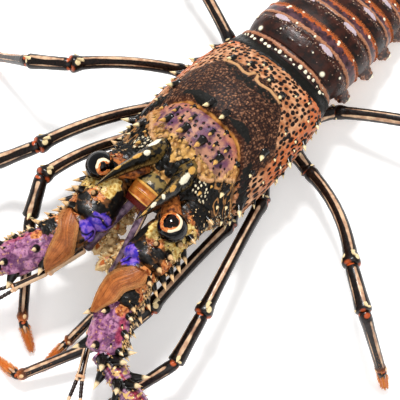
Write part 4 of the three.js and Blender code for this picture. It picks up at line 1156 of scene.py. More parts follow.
# %% Tail rings
RING_COLUMNS = 320
for index in range(6):
    front, rear = SEGMENT_EDGES[index], SEGMENT_EDGES[index + 1] - 0.5
    first = front if index else front - 2
    long, groove_y = rear - front, front + (rear - front) * CROSS_GROOVE
    t = np.linspace(0, 1, int(12 + 2.2 * (rear - first)))[:, None]
    turn = np.linspace(-math.pi, math.pi, RING_COLUMNS, endpoint=False)[None, :]
    y = first + (rear - first) * t
    skin = tail_at(y, turn, ring_profile(t))
    y = y + 0 * turn
    steps = np.linalg.norm(np.diff(skin, axis=1, append=skin[:, :1]), axis=-1)
    around = np.cumsum(steps, axis=1) - steps
    around = around - around[:, RING_COLUMNS // 2:RING_COLUMNS // 2 + 1]
    angle = np.abs(np.degrees(turn)) + 0 * t
    relief, masks = ring_patterns(index, first, rear, groove_y, skin, y, around, angle)
    form, hair = Form(), Form()
    form.grid(skin + normals(skin) * relief[..., None], **masks)
    if index:
        ring_bristles(hair, first, rear, groove_y)
    for side, _ in SIDES if 0 < index < 5 else ():
        root = tail_at(np.array(front + long * 0.45), np.array(side * 0.52 * math.pi), 0.95)
        side_plate(form, hair, root, side, 15 - 1.6 * index)
        foot = tail_at(np.array(front + long * 0.3), np.array(side * 0.82 * math.pi), 1) + np.array([0, 0, 2])
        swimmeret(form, hair, foot, side)
    name = "abdomen_%d" % (index + 1)
    form.piece(name + "_shell", tail_finish, [name], "abdomen")
    if hair.count:
        hair.piece(name + "_bristles", tail_hair, [], "abdomen", "OFBake")

# %% [markdown]
# ## Tail fan
# The fan is outside the photograph, so it follows the species: a middle plate and two pairs of side
# plates, hard and dark near the root, thin and ribbed towards the fringed edge.

# %% Tail fan
paint = Finish("tail_fan")
fine, broad = paint.noise(0.9, 3.0), paint.noise(5.0, 3.0)
along = paint.mask("along")
paint.lay("241418", "553542", broad.above(0.35, 0.65))
paint.lay("7a3d1c", "b4672e", fine, where=(along + 0.2 * broad).above(0.42, 0.62))
paint.lay("d89a5c", where=paint.zone("ray", 0.5, 0.9) * along.above(0.2, 0.5))
paint.lay("e6b070", where=along.above(0.93, 0.99))
paint.lay("e8d8b4", where=paint.grains(2.4).above(0.3, 0.16) * along.above(0.5, 0.3))
fan_finish = paint.shell(0.3 + 0.2 * fine, paint.grains(0.8), 0.1)
FAN_ROOT = np.array([2, 197, 16.5])
fins = [("telson", 0, 0, 0, 0, 0, 52, 14.5)]
for side, word in SIDES:
    fins.append(("uropod_inner_" + word, side, 8, -1, 2.9, 0.42, 54, 13))
    fins.append(("uropod_outer_" + word, side, 13, -4, 5.6, 0.9, 54, 13.5))
for name, side, spread, back, drop, heading, length, width in fins:
    form, hair = Form(), Form()
    root = FAN_ROOT + np.array([side * spread, back, -drop])
    ways = blade(form, root, side * heading, 0.2, length, width, 1.7, rays=5, bow=1.0)
    fringe(hair, root, ways, length, width, 900, 1.6)
    form.piece(name + "_fin", fan_finish, [name], "tail_fan")
    hair.piece(name + "_fringe", tail_hair, [], "tail_fan", "OFBake")

# %% [markdown]
# ## Horns
# Two long horns reach forward over the eyes. They are flattened from side to side and black, with a
# cream patch near the foot, amber spots farther out and a thin light line along the upper edge.

# %% Horns
HORN_STATIONS = [[9.5, 15, 51, 6, 8], [11.2, 5, 55, 4.7, 6.2], [12.6, -6, 60, 3.1, 4.7],
                 [13.5, -17, 65.4, 1.9, 3.0], [13.9, -28.7, 70.1, 0.15, 0.15]]
# Each mark: place along the horn, reach, angle from its outer side over the top, spread and colour.
HORN_MARKS = {
    "left": [[0.24, 0.1, 58, 24, "cream"], [0.1, 0.06, 62, 20, "amber"], [0.44, 0.06, 66, 22, "amber"],
             [0.6, 0.03, 66, 26, "cream"], [0.75, 0.045, 68, 28, "cream"], [0.88, 0.04, 68, 30, "amber"]],
    "right": [[0.13, 0.1, 60, 22, "cream"], [0.42, 0.07, 84, 22, "amber"], [0.7, 0.05, 84, 26, "amber"],
              [0.3, 0.05, 100, 20, "cream"]],
}
paint = Finish("horn")
fine, broad = paint.noise(1.0, 3.0), paint.noise(3.0, 3.0)
paint.lay("050604", "1c1508", broad.above(0.4, 0.65))
paint.lay("6a5428", where=paint.mask("foot") * broad.above(0.45, 0.6))
paint.lay("a8864e", where=paint.mask("edge") * fine.above(0.3, 0.55))
ragged = 0.5 * (paint.noise(1.2, 3.0) - 0.5)
paint.lay("b07028", "e8bc60", fine, where=paint.zone("amber", 0.35, 0.6, ragged))
paint.lay("f4ecd0", where=paint.zone("cream", 0.35, 0.6, ragged))
horn_finish = paint.shell(0.16 + 0.15 * fine, paint.noise(0.7, 3.0), 0.08, coat=0.1)
for side, word in SIDES:
    path = route([[x * side, y, z, wide, high] for x, y, z, wide, high in HORN_STATIONS], 110)

    def marked(kind):
        """A mask of all the spots of one kind."""
        def mask(share, turn):
            found = np.zeros_like(share)
            for middle, reach, angle, spread, sort in HORN_MARKS[word]:
                if sort == kind:
                    spot = near_angle(turn, turned(angle, side), math.radians(spread))
                    found = np.maximum(found, bell(share, middle, reach) * spot)
            return found
        return mask

    def lumps(share, turn):
        keel = 0.5 * near_angle(turn, math.pi / 2, 0.35) * step(share, 1, 0.8)
        knobs = 0.6 * (ripple(share * 26, turn * 3 + 30, 1.0, 7) - 0.5) * step(share, 0.7, 0.2)
        return keel + knobs + 0.45 * marked("cream")(share, turn) + 0.3 * marked("amber")(share, turn)

    def edge(share, turn):
        upper = near_angle(turn, turned(84, side), 0.16) * step(share, 0.25, 0.4)
        return upper + 0.7 * near_angle(turn, turned(172, side), 0.2)

    points, masks = carve(path, 64, lumps, cream=marked("cream"), amber=marked("amber"), edge=edge,
                          foot=lambda share, turn: step(share, 0.4, 0.1))
    form = Form()
    form.grid(points, **masks)
    form.piece("horn_" + word + "_keel", horn_finish, ["horn_" + word], "horn")

# %% [markdown]
# ## Eyes
# An eye is a glossy black cornea round a dark middle, with a ring of cream and orange between them,
# on a rust-coloured stalk. The ring is painted by each point's angle from a marked direction.

# %% Eyes
EYE_RADIUS = 7.9
# Where the ringed part looks, and the ring's inner and outer angle from there.
EYE_RINGS = {"left": [[-0.11, 0.02, 0.994], 30, 45], "right": [[0.562, -0.093, 0.822], 18, 33]}
paint = Finish("eye")
fine = paint.noise(1.0, 3.0)
wet = paint.zone("cornea", 0.4, 0.6)
paint.lay("4a2010", "c07036", paint.noise(2.5, 3.0).above(0.35, 0.65))
paint.lay("020203", where=wet)
paint.lay("b04414", "e89850", fine.above(0.35, 0.65), where=paint.zone("ring", 0.3, 0.7))
paint.lay("f8e8c4", where=paint.zone("cream", 0.3, 0.7))
paint.lay("050202", "2c0c06", fine.above(0.5, 0.7), where=paint.zone("pupil", 0.4, 0.6))
eye_finish = paint.shell(0.32 - 0.27 * wet, (1 - wet) * fine, 0.12, gloss=0.3)
for side, word in SIDES:
    root, centre = np.array([8 * side, 1, 47.0]), np.array([25.5 * side, -15.5, 55.5])
    way, long = unit(centre - root), np.linalg.norm(centre - root)
    lifts = np.linspace(-0.8, math.pi / 2 - 0.02, 18)
    ball = [[long + EYE_RADIUS * math.sin(lift), EYE_RADIUS * math.cos(lift)] for lift in lifts]
    profile = np.array([[0, 4.8], [long - 14, 4.6], [long - 9, 5.6]] + ball)
    share = np.interp(np.linspace(0, 1, 100) ** 0.8, np.linspace(0, 1, len(profile)), profile[:, 0] / long)
    middle = root + (centre - root) * share[:, None]
    path = follow(middle, np.interp(share, profile[:, 0] / long, profile[:, 1]), share)
    points, turn = tube(path, 96)
    out = unit(points - centre)
    direction, inner, outer = EYE_RINGS[word]
    marked_way = unit(np.array(direction))
    apart = np.degrees(np.arccos(np.clip(out @ marked_way, -1, 1)))
    around = out - marked_way * (out @ marked_way)[..., None]
    outward, backward = around[..., 0] * side, around[..., 1]
    angle = np.arctan2(outward, backward)
    wobble = 3 * np.sin(3 * angle + 1) + 1.5 * np.sin(7 * angle)
    ring = step(apart + wobble, inner - 3, inner + 1) * step(apart + 0.5 * wobble, outer + 3, outer - 2)
    gap = step(backward, 0.05, 0.25) * step(outward, 0.1, -0.2) * (side < 0)
    cornea_mask = step(out @ way, -0.5, -0.36) * step(apart, outer - 6, outer)
    cornea_mask = np.maximum(cornea_mask, gap * step(apart, 60, 50))
    pupil = step(apart + wobble, inner + 1, inner - 2)
    nodules = ripple(share[:, None] * 30 + 0 * turn, turn[None, :] * 4 + 40, 1.0, 5) - 0.5
    nodules = nodules * step(share, 0.66, 0.5)[:, None]
    cream = ring * (1 - gap) * step(outward + 0.3 * backward, 0.0, 0.15) * step(apart, inner + 2, inner + 6)
    skin = points + out * (0.2 * ring)[..., None]
    skin = skin + unit(points - middle[:, None]) * (0.9 * nodules)[..., None]
    form = Form()
    form.grid(skin, ring=ring * (1 - gap), cream=cream, pupil=pupil, cornea=np.maximum(cornea_mask, pupil))
    form.piece("eye_" + word + "_ball", eye_finish, ["eye_" + word], "eye")

# %% [markdown]
# ## The plate between the antennae
# A smooth amber plate with raised yellow edges joins the two antennae. Its front edge is dark red.
# Below and before it lie the mouth's own plate and the breast plate, which only show from below.

# %% Plates
paint = Finish("amber_plate")
fine, broad = paint.noise(0.8, 3.0), paint.noise(4.0, 3.0)
paint.lay("8a3c0c", "c8782c", broad.above(0.3, 0.7))
paint.lay("0c0a06", "86703a", broad.above(0.42, 0.56), where=paint.zone("back", 0.3, 0.7))
paint.lay("240606", "6a1c14", fine, where=paint.zone("front", 0.3, 0.7))
paint.lay("c07c28", "ecbc60", fine, where=paint.zone("line", 0.3, 0.7))
plate_finish = paint.shell(0.2 + 0.15 * fine + 0.25 * paint.mask("back"), fine, 0.06, coat=0.1)
path = route([[0, 3, 48, 8, 3], [0, -4, 49.5, 9, 3.2], [0, -11, 48, 8.8, 3.2], [0, -16.5, 45, 7.8, 1.8]], 90)


def top_line(share, turn):
    """Three raised lines across the plate's upper side."""
    lines = bell(share, 0.46, 0.035) + bell(share, 0.8, 0.02) + 0.7 * bell(share, 0.63, 0.015)
    return lines * np.sin(turn).clip(0, 1)


def plate_relief(share, turn):
    """The raised lines, with a shallow trough between two of them."""
    return 0.8 * top_line(share, turn) - 0.5 * bell(share, 0.56, 0.06) * np.sin(turn).clip(0, 1)


points, masks = carve(path, 84, plate_relief, line=top_line, back=lambda share, turn: step(share, 0.47, 0.4),
                      front=lambda share, turn: np.maximum(step(share, 0.8, 0.84), -np.sin(turn)))
plate = Form()
plate.grid(points, **masks)
plate.piece("antennular_plate_amber", plate_finish, ["antennular_plate"], "antennular_plate")

# %% Mouth and breast plates
UNDER_PLATES = (
    ("epistome_plate", "epistome", "mouth",
     [[0, 22, 27, 9, 7], [0, 8, 29, 12, 9], [0, -3, 32, 12, 8], [0, -7, 34, 9, 5]]),
    ("sternum_plates", "sternum", "sternum",
     [[0, 27, 20, 8, 4], [0, 45, 18, 14, 5], [0, 65, 18, 20, 5], [0, 84, 18, 23, 5], [0, 97, 20, 20, 3]]),
)
paint = Finish("mouth_plate")
fine, broad = paint.noise(0.9, 3.0), paint.noise(3.0, 3.0)
paint.lay("6a4226", "c8a070", broad.above(0.3, 0.7))
paint.lay("ecd8b0", where=paint.grains(1.6).above(0.25, 0.1))
paint.lay("24130b", where=paint.zone("dark", 0.3, 0.8))
beige_finish = paint.shell(0.35 + 0.15 * fine, paint.grains(1.1), 0.12)


def ribs(share, turn):
    """Soft cross ribs on an uneven ground."""
    return 0.35 * np.sin(share * 40) * np.cos(turn) + 0.3 * (ripple(share * 20, turn * 4 + 30, 1.0, 3) - 0.5)


for name, node, slot, stations in UNDER_PLATES:
    path = route(stations, 64)
    points, masks = carve(path, 60, ribs, dark=lambda share, turn: bell(np.sin(share * 14), 1, 0.15))
    form = Form()
    form.grid(points, **masks)
    form.piece(name, beige_finish, [node], slot)

# %% [markdown]
# ## Antennules and mouth limbs
# The antennules are thin dark rods with cream stripes, pale knobs at the hinges and two fine banded
# whips. The last pair of mouth limbs ends in clusters of tan knobs between the antennae.

# %% Antennules
ANTENNULES = {
    "left": [[4, -14, 41], [14, -50, 32], [26.8, -80, 25.5], [39, -99, 28]],
    "right": [[-4, -14, 42], [-5, -50, 38], [-11, -72, 36], [-18.5, -90, 35]],
}
# Places along a part and its thickness there, as a share of its radius.
ROD_SWELL = [[0.0, 0.6], [0.04, 0.9], [0.12, 0.95], [0.85, 1], [0.95, 1.25], [1.0, 0.8]]
COMB_HAIRS = 26
paint = Finish("antennule")
fine = paint.noise(1.0, 3.0)
paint.lay("0c0807", "30190f", fine)
paint.lay("3a2838", "806678", paint.noise(3.0).above(0.3, 0.7), where=paint.mask("mauve"))
paint.lay("d09c74", "f0d6b4", fine, where=(paint.mask("pale") + 0.2 * fine).above(0.45, 0.7))
paint.lay("ecd4a8", "d06a38", fine, where=paint.zone("knob", 0.3, 0.7))
rod_finish = paint.shell(0.2 + 0.1 * fine, paint.noise(0.6), 0.05, coat=0.1)
comb_hair = bristle_finish("comb_bristle", "e8dcc0", "fbf4e2")
for side, word in SIDES:
    joints = np.array(ANTENNULES[word], float)
    form, hair = Form(), Form()
    for i in range(3):
        radius = 2.5 - 0.25 * i
        path = straight(joints[i], joints[i + 1], [[share, radius * swell] for share, swell in ROD_SWELL], 60)

        def mauve(share, turn):
            return step(share, 1.2, 0.6) * (i == 0)

        def pale(share, turn):
            inner = near_angle(turn, turned(150, side), 0.7) * (i > 0)
            return inner + near_angle(turn, turned(40, side), 0.25)

        def knob(share, turn):
            return bell(share, 0.95, 0.035) * (i > 0) + bell(share, 0.02, 0.02)

        points, masks = carve(path, 30, mauve=mauve, pale=pale, knob=knob)
        form.grid(points, **masks)
        if i == 1:
            rng = np.random.default_rng(4)
            shares = np.linspace(0.1, 0.62, COMB_HAIRS)
            root, out, along = on_tube(path, shares, np.full(COMB_HAIRS, turned(150, side)), 0.9)
            uv = np.stack([shares, shares * 0 + 0.4], 1)
            size = rng.uniform(2.4, 3.4, COMB_HAIRS)
            grow_bristles(hair, root, out + 0.15 * along, size, 0.22, uv, lean=(0, -1, 0))
    along = unit(joints[3] - joints[2])
    across = unit(np.cross(along, UP))
    for way, _ in SIDES:
        t = np.linspace(0, 1, 130)
        at = joints[3] + along * (75 * t - 4)[:, None] + across * (way * (1 + 16 * t ** 1.3))[:, None]
        path = follow(at + UP * (14 * t ** 2)[:, None], 1.1 * (1 - 0.7 * t) * (1 + 0.12 * np.sin(t * 240)), t)
        points, masks = carve(path, 10, pale=lambda share, turn: step(np.sin(share * 38), 0.55, 0.75))
        form.grid(points, **masks)
    form.piece("antennule_%s_rod" % word, rod_finish, ["antennule_" + word], "antennule")
    hair.piece("antennule_%s_comb" % word, comb_hair, [], "antennule", "OFBake")

# %% Mouth limb measures
MOUTH_LIMBS = {
    "left": [[8, 28, 20], [11, 2, 16], [9.5, -20, 20], [6, -40, 26], [4, -53, 28]],
    "right": [[-8, 28, 20], [-11, 2, 16], [-9.5, -18, 20], [-6, -36, 25], [-3, -47, 26]],
}


def pebbles(form, centres, sizes, **masks):
    """Round uneven knobs; each mask is one number a knob."""
    rows = np.linspace(0.1, math.pi - 0.1, 8)[:, None]
    turn = np.linspace(0, TURN, 12, endpoint=False)[None, :]
    ball = np.stack([np.sin(rows) * np.cos(turn), np.sin(rows) * np.sin(turn), np.cos(rows) + 0 * turn], -1)
    for i, (centre, size) in enumerate(zip(centres, sizes)):
        uneven = 1 + 0.16 * np.sin(3 * turn + i) * np.sin(rows) + 0.12 * np.cos(2 * rows + 2 * i)
        knob = np.array(centre) + ball * (size * uneven)[..., None]
        form.grid(knob, **{key: value[i] for key, value in masks.items()})


# %% Mouth limb finish
paint = Finish("mouth_limb")
fine, broad = paint.noise(0.8, 3.0), paint.noise(2.5, 3.0)
paint.lay("442611", "d09c5c", broad.above(0.35, 0.55))
paint.lay("cc9650", "fce4b0", fine, where=(paint.mask("cream") + 0.5 * fine - 0.2).above(0.3, 0.7))
paint.lay("8a3414", "d07434", fine, where=paint.zone("ember", 0.35, 0.65))
paint.lay("f2e2b6", where=paint.zone("spine", 0.5, 0.8))
limb_finish = paint.shell(0.24 + 0.15 * fine, paint.noise(0.5, 3.0), 0.08, coat=0.1)
brush_hair = bristle_finish("brush_bristle", "6a4420", "cca468")

# %% Mouth limbs
for side, word in SIDES:
    hip, bend, knee, palm, tip = np.array(MOUTH_LIMBS[word], float)
    stations = [[*hip, 4.2, 4.2], [*(hip * 0.6 + bend * 0.4), 4.6, 4], [*bend, 4, 3.6], [*knee, 3.4, 3.4],
                [*(knee + palm) / 2, 3.4, 3.3], [*palm, 3.6, 3.4], [*(palm * 0.3 + tip * 0.7), 3.2, 2.6],
                [*tip, 0.2, 0.2]]
    path = route(stations, 120)

    def lumps(share, turn):
        return 0.9 * (ripple(share * 42, turn * 3 + 20, 1.0, 9) - 0.45) * step(share, 0.5, 0.62)

    def ember(share, turn):
        return bell(share, 0.92, 0.06) * near_angle(turn, math.radians(95), 0.5)

    points, masks = carve(path, 36, lumps, cream=lambda share, turn: step(share, 0.72, 0.85), ember=ember)
    form, hair, rng = Form(), Form(), np.random.default_rng(14)
    form.grid(points, **masks)
    count = 120
    shares = rng.uniform(0.5, 0.9, count)
    turns = np.array([turned(angle, side) for angle in rng.uniform(20, 230, count)])
    root, out, along = on_tube(path, shares, turns, 1.0)
    root = root + out * rng.uniform(-0.6, 2.6, count)[:, None]
    size, cream = rng.uniform(0.9, 2.4, count), rng.random(count) ** 0.5
    pebbles(form, root, size, cream=cream, ember=0.6 * (rng.random(count) < 0.12))
    count = 60
    shares, turns = rng.uniform(0.55, 0.95, count), rng.uniform(-0.4, math.pi + 0.4, count)
    root, out, along = on_tube(path, shares, turns, 1.2)
    size = rng.uniform(1.5, 3.2, count)
    grow_spines(form, root, out + 0.5 * along, size, 0.4 + 0.25 * size, lean=(0, 0, 1),
                sides=9, rings=7, cream=0.6)
    for i, part in enumerate([0.45, 0.75, 1]):
        spot = knee + (palm - knee) * part + np.array([0, 0, 2])
        grow_spines(form, [spot], [[-side * (1 - i * 0.5), -0.5, 1]], 4.5, 1.9, sides=12, rings=10, cream=0.8)
    count = 700
    shares, turns = rng.uniform(0.45, 0.97, count), rng.uniform(0, TURN, count)
    root, out, along = on_tube(path, shares, turns, 0.9)
    size, uv = rng.uniform(1.6, 3.4, count), np.stack([shares, turns / TURN], 1)
    grow_bristles(hair, root, out + 0.9 * along, size, 0.12, uv)
    form.piece("maxilliped_%s_limb" % word, limb_finish, ["maxilliped_" + word], "mouth")
    hair.piece("maxilliped_%s_brush" % word, brush_hair, [], "mouth", "OFBake")

# %% [markdown]
# ## Antennae
# Each antenna has a base and three stout articles. Their colours change from side to side: black and
# spiny outside, cream and amber above, violet skin where two articles meet, mauve on the third. Every
# zone is a soft patch given by a place along the article and an angle from its outer side over the top.

# %% Antenna measures
ANTENNA_JOINTS = {
    "left": [[21, 7, 37], [22.5, -14, 41], [25, -39, 44], [29, -60, 41], [40, -82, 36]],
    "right": [[-21, 7, 37], [-21, -13, 41], [-13, -41, 44], [-20, -61, 41], [-31.5, -83, 36]],
}
# Each article: name, half width, half height, rows of spines and spots of colour. A row has an angle
# from the outer side over the top, a count and a length. A spot has a zone, place, reach, angle, spread.
ARTICLES = [
    ["base", 12.5, 10.5, [[25, 2, 7]],
     [["ink", 0.2, 0.5, 30, 75], ["amber", 0.5, 0.3, 40, 44], ["butter", 1.02, 0.4, 32, 50],
      ["ink", 0.9, 0.5, -30, 24]]],
    ["article_1", 13, 10.5, [[5, 4, 9], [45, 3, 7.5], [85, 1, 6]],
     [["butter", 0.15, 0.42, 40, 60], ["butter", 0.3, 0.26, 108, 34], ["amber", 0.52, 0.16, 92, 26],
      ["amber", 0.78, 0.16, 22, 32], ["ink", 0.68, 0.1, 66, 20], ["ink", 0.76, 0.11, 112, 20],
      ["nubby", 0.4, 0.4, 8, 30], ["violet", 0.97, 0.2, 142, 46], ["ink", 0.92, 0.09, 84, 22],
      ["ink", 0.5, 0.3, 150, 26], ["ink", 0.5, 0.9, -24, 24]]],
    ["article_2", 11.5, 9, [[0, 3, 8], [40, 2, 6]],
     [["amber", 0.08, 0.18, 45, 36], ["violet", -0.02, 0.2, 142, 50], ["amber", 0.62, 0.4, 60, 38],
      ["ink", 0.78, 0.24, 62, 32], ["nubby", 0.5, 0.9, 8, 24], ["rose", 0.95, 0.2, 118, 40],
      ["ink", 0.5, 0.9, -28, 26]]],
    ["article_3", 10.5, 8.6, [[-5, 4, 6], [35, 3, 5], [110, 2, 5], [172, 2, 8]],
     [["rose", 0.5, 2.0, 104, 78], ["ink", 0.5, 1.2, -12, 36], ["red", 0.48, 0.4, 50, 15],
      ["butter", 0.74, 0.2, 18, 20], ["amber", 0.12, 0.14, 62, 22]]],
]
ZONES = ("ink", "nubby", "butter", "amber", "violet", "rose", "red")

# %% Antenna finish
paint = Finish("antenna_article")
fine, broad, patch = paint.noise(0.9, 3.0), paint.noise(3.0, 3.0), paint.noise(1.8, 3.0)
ragged = 0.7 * (paint.noise(2.4, 4.0) - 0.5)
paint.lay("120b07", "6a4220", broad.above(0.4, 0.62))
paint.lay("4a2c14", "d0a468", patch.above(0.4, 0.6), where=paint.zone("nubby", 0.32, 0.48, ragged))
rose = paint.mix(broad.above(0.35, 0.65), "743a66", "b880a0")
rose = paint.mix(paint.zone("vein", 0.35, 0.9) * 0.8, rose, paint.mix(fine, "3a1030", "5c2a5e"))
rose = paint.mix(patch.above(0.56, 0.7) * 0.8, rose, "c48c66")
rose = paint.mix(patch.above(0.44, 0.34) * 0.8, rose, "4c2044")
paint.lay(rose, where=paint.zone("rose", 0.25, 0.4, ragged))
paint.lay("7a2c0c", "d88a4c", patch.above(0.35, 0.6), where=paint.zone("amber", 0.35, 0.5, ragged))
paint.lay("b4822c", "ecd48a", patch.above(0.35, 0.65), where=paint.zone("butter", 0.38, 0.52, ragged))
# Violet skin with painted shade: its furrows, the vein mask, are laid near-black indigo over the violet.
paint.lay(paint.mix(broad.above(0.4, 0.6), "3c2aa8", "8a62c0"), "0e062c", paint.zone("vein", 0.2, 0.9),
          where=paint.zone("violet", 0.32, 0.5, ragged))
paint.lay("7c1c3c", "c8506a", patch.above(0.35, 0.65),
          where=(paint.mask("red") + 1.4 * ragged).above(0.2, 0.85) * 0.85)
paint.lay("060504", "2a2014", patch.above(0.55, 0.7), where=paint.zone("ink", 0.36, 0.5, ragged))
paint.lay("060404", where=paint.zone("disc", 0.35, 0.6))
article_finish = paint.shell(0.2 + 0.18 * fine + 0.2 * paint.mask("ink"), paint.noise(0.6, 3.0), 0.1,
                             gloss=0.22, coat=0.06)
antenna_spine = spine_finish("antenna_spine", "060404", "0e0a08", "eec890", 0.62, 0.78)


# %% Antenna zones and relief
def spot_masks(spots, share, turn, side):
    """One mask a zone, from its soft spots at places along an article and angles round it."""
    masks = {key: np.zeros_like(share) for key in ZONES}
    for key, middle, reach, angle, spread in spots:
        spot = near_angle(turn, turned(angle, side), math.radians(spread))
        masks[key] = np.maximum(masks[key], bell(share, middle, reach) * spot)
    return masks


def article_relief(masks, share, turn, long, wide, index):
    """Warts on the rough zones, and winding furrows, kept as one more mask, on violet and rose. The finish
    paints shade into the violet furrows.
    """
    wave = ripple(share * long / 4, turn * 4 + 40, 1.0, 12 + index) - 0.5
    far, tag, _ = cells(share * long, turn * wide, 1.9, 15 + index, 0.9)
    warts = step(far, 1.0, 0.2) * (0.4 + 0.6 * tag)
    masks["vein"] = ridged(turn * wide / 5 + 0.8 * wave, share * long / 6 + 20, 17 + index)
    rough = masks["nubby"] + masks["amber"] + 0.25 * masks["ink"] + 0.3 * masks["butter"]
    relief = 0.8 * wave + 0.6 * warts * rough.clip(0, 1)
    relief = relief - 0.9 * masks["vein"] * masks["violet"] - 0.25 * masks["vein"] * masks["rose"]
    relief = relief + (0.9 if index == 2 else 0.2) * masks["ink"]
    return relief * step(share, -0.05, 0.05) * step(share, 1.04, 0.97)


# %% Antenna spine rows
def row_shares(count, start=0.2, end=0.9, spread=1.0):
    """The places of a row of spines along an article."""
    if count == 1:
        return np.array([(start + end) / 2])
    return start + (end - start) * (np.arange(count) / (count - 1)) ** spread


def great_spines(spikes, path, points, rows, index, side):
    """Rows of great spines on an article, and a mask of the dark discs they stand on."""
    disc = np.zeros(points.shape[:2])
    for angle, count, length in rows:
        root, out, along = on_tube(path, row_shares(count), np.full(count, turned(angle, side)), 0.9)
        on_top = 20 < angle < 150
        fat = 1.35 if on_top or angle > 150 else 1.0
        way, lean = out + (0.3 if on_top else 0.75) * along, (0, -1, 0) if on_top else (0, 0, 1)
        grow_spines(spikes, root, way, length, (0.7 + 0.2 * length) * fat, lean=lean, bend=0.06,
                    sides=12, rings=10, pale=0.3 if index < 3 else 0.7)
        foot = (2.0 if index > 1 else 1.5) * fat
        for at in root:
            disc = np.maximum(disc, bell(np.linalg.norm(points - at, axis=-1), 0, foot))
    return disc


def small_spines(spikes, path, index, side):
    """Lesser spines, most of them on the article's outer side and the rest on top."""
    rng, count = np.random.default_rng(30 + index), 130
    shares = rng.uniform(0.02, 0.95, count)
    outside = rng.random(count) < (0.92 if index == 3 else 0.75)
    angles = np.where(outside, rng.normal(2, 20, count), rng.normal(60, 30, count))
    turns = np.array([turned(angle, side) for angle in angles])
    root, out, along = on_tube(path, shares, turns, 0.95)
    size = rng.uniform(0.7, 1.0, count) * np.where(rng.random(count) < 0.25, 3.4, 1.5)
    grow_spines(spikes, root, out + 0.9 * along, size, 0.25 + 0.24 * size, lean=(0, 0, 1),
                sides=6, rings=5, pale=rng.random(count) * 0.6)


# %% Antenna articles
for side, word in SIDES:
    joints = np.array(ANTENNA_JOINTS[word], float)
    spikes = Form()
    for index, (name, wide, high, rows, spots) in enumerate(ARTICLES):
        start, end = joints[index], joints[index + 1]
        long = np.linalg.norm(end - start)
        profile = [[-3 / long, 0.6 * wide], [0.0, 0.85 * wide], [0.12, 0.93 * wide], [0.7, wide],
                   [0.9, 0.97 * wide], [(long - 0.6) / long, 0.86 * wide], [(long + 1) / long, 0.58 * wide]]
        path = straight(start, end, profile, 100, flat=high / wide)
        points, turn = tube(path, 128)
        share = path["share"][:, None] + 0 * turn[None, :]
        turn = turn[None, :] + 0 * share
        masks = spot_masks(spots, share, turn, side)
        relief = article_relief(masks, share, turn, long, wide, index)
        masks["disc"] = great_spines(spikes, path, points, rows, index, side)
        form = Form()
        form.grid(points + unit(points - path["at"][:, None]) * relief[..., None], **masks)
        node = "antenna_%s_%s" % (word, name)
        form.piece(node + "_shell", article_finish, [node], "antenna_base" if index < 2 else "antenna_shell")
        small_spines(spikes, path, index, side)
    spikes.piece("antenna_%s_spines" % word, antenna_spine, [], "antenna_shell")

# %% [markdown]
# ## The hairy flaps
# A soft pointed flap lies over the second article of each antenna, rust-coloured and combed with fine
# hairs. It is draped: its two edges are angles round the article, keyed along it, and it thins out
# towards the edges, while the inner edge stands a little off.

# %% Flaps
# Outer and inner edge: angles round the article, keyed along it.
FLAP_EDGES = {
    "left": ([[0.12, 54], [0.35, 50], [0.7, 76], [0.98, 84], [1.16, 106], [1.34, 134]],
             [[0.12, 96], [0.41, 132], [0.69, 145], [1.1, 144], [1.34, 140]]),
    "right": ([[0.12, 22], [0.42, 56], [0.54, 80], [0.79, 100], [1.02, 122], [1.2, 150], [1.27, 172]],
              [[0.12, 108], [0.43, 147], [0.63, 172], [1.15, 184], [1.27, 182]]),
}
paint = Finish("flap")
fine = paint.noise(0.9, 3.0)
combed = paint.mask("comb")
paint.lay("70360f", "b86a32", (combed + 0.8 * (fine - 0.5)).above(0.0, 0.85))
paint.lay("703412", where=paint.noise(4.0, 3.0).above(0.42, 0.66) * 0.55)
paint.lay("e0a468", where=paint.zone("edge", 0.5, 1.0) * 0.6)
flap_finish = paint.shell(0.28 + 0.2 * fine, fine, 0.1)
flap_hair = bristle_finish("flap_bristle", "7a3a12", "dc9c5c")
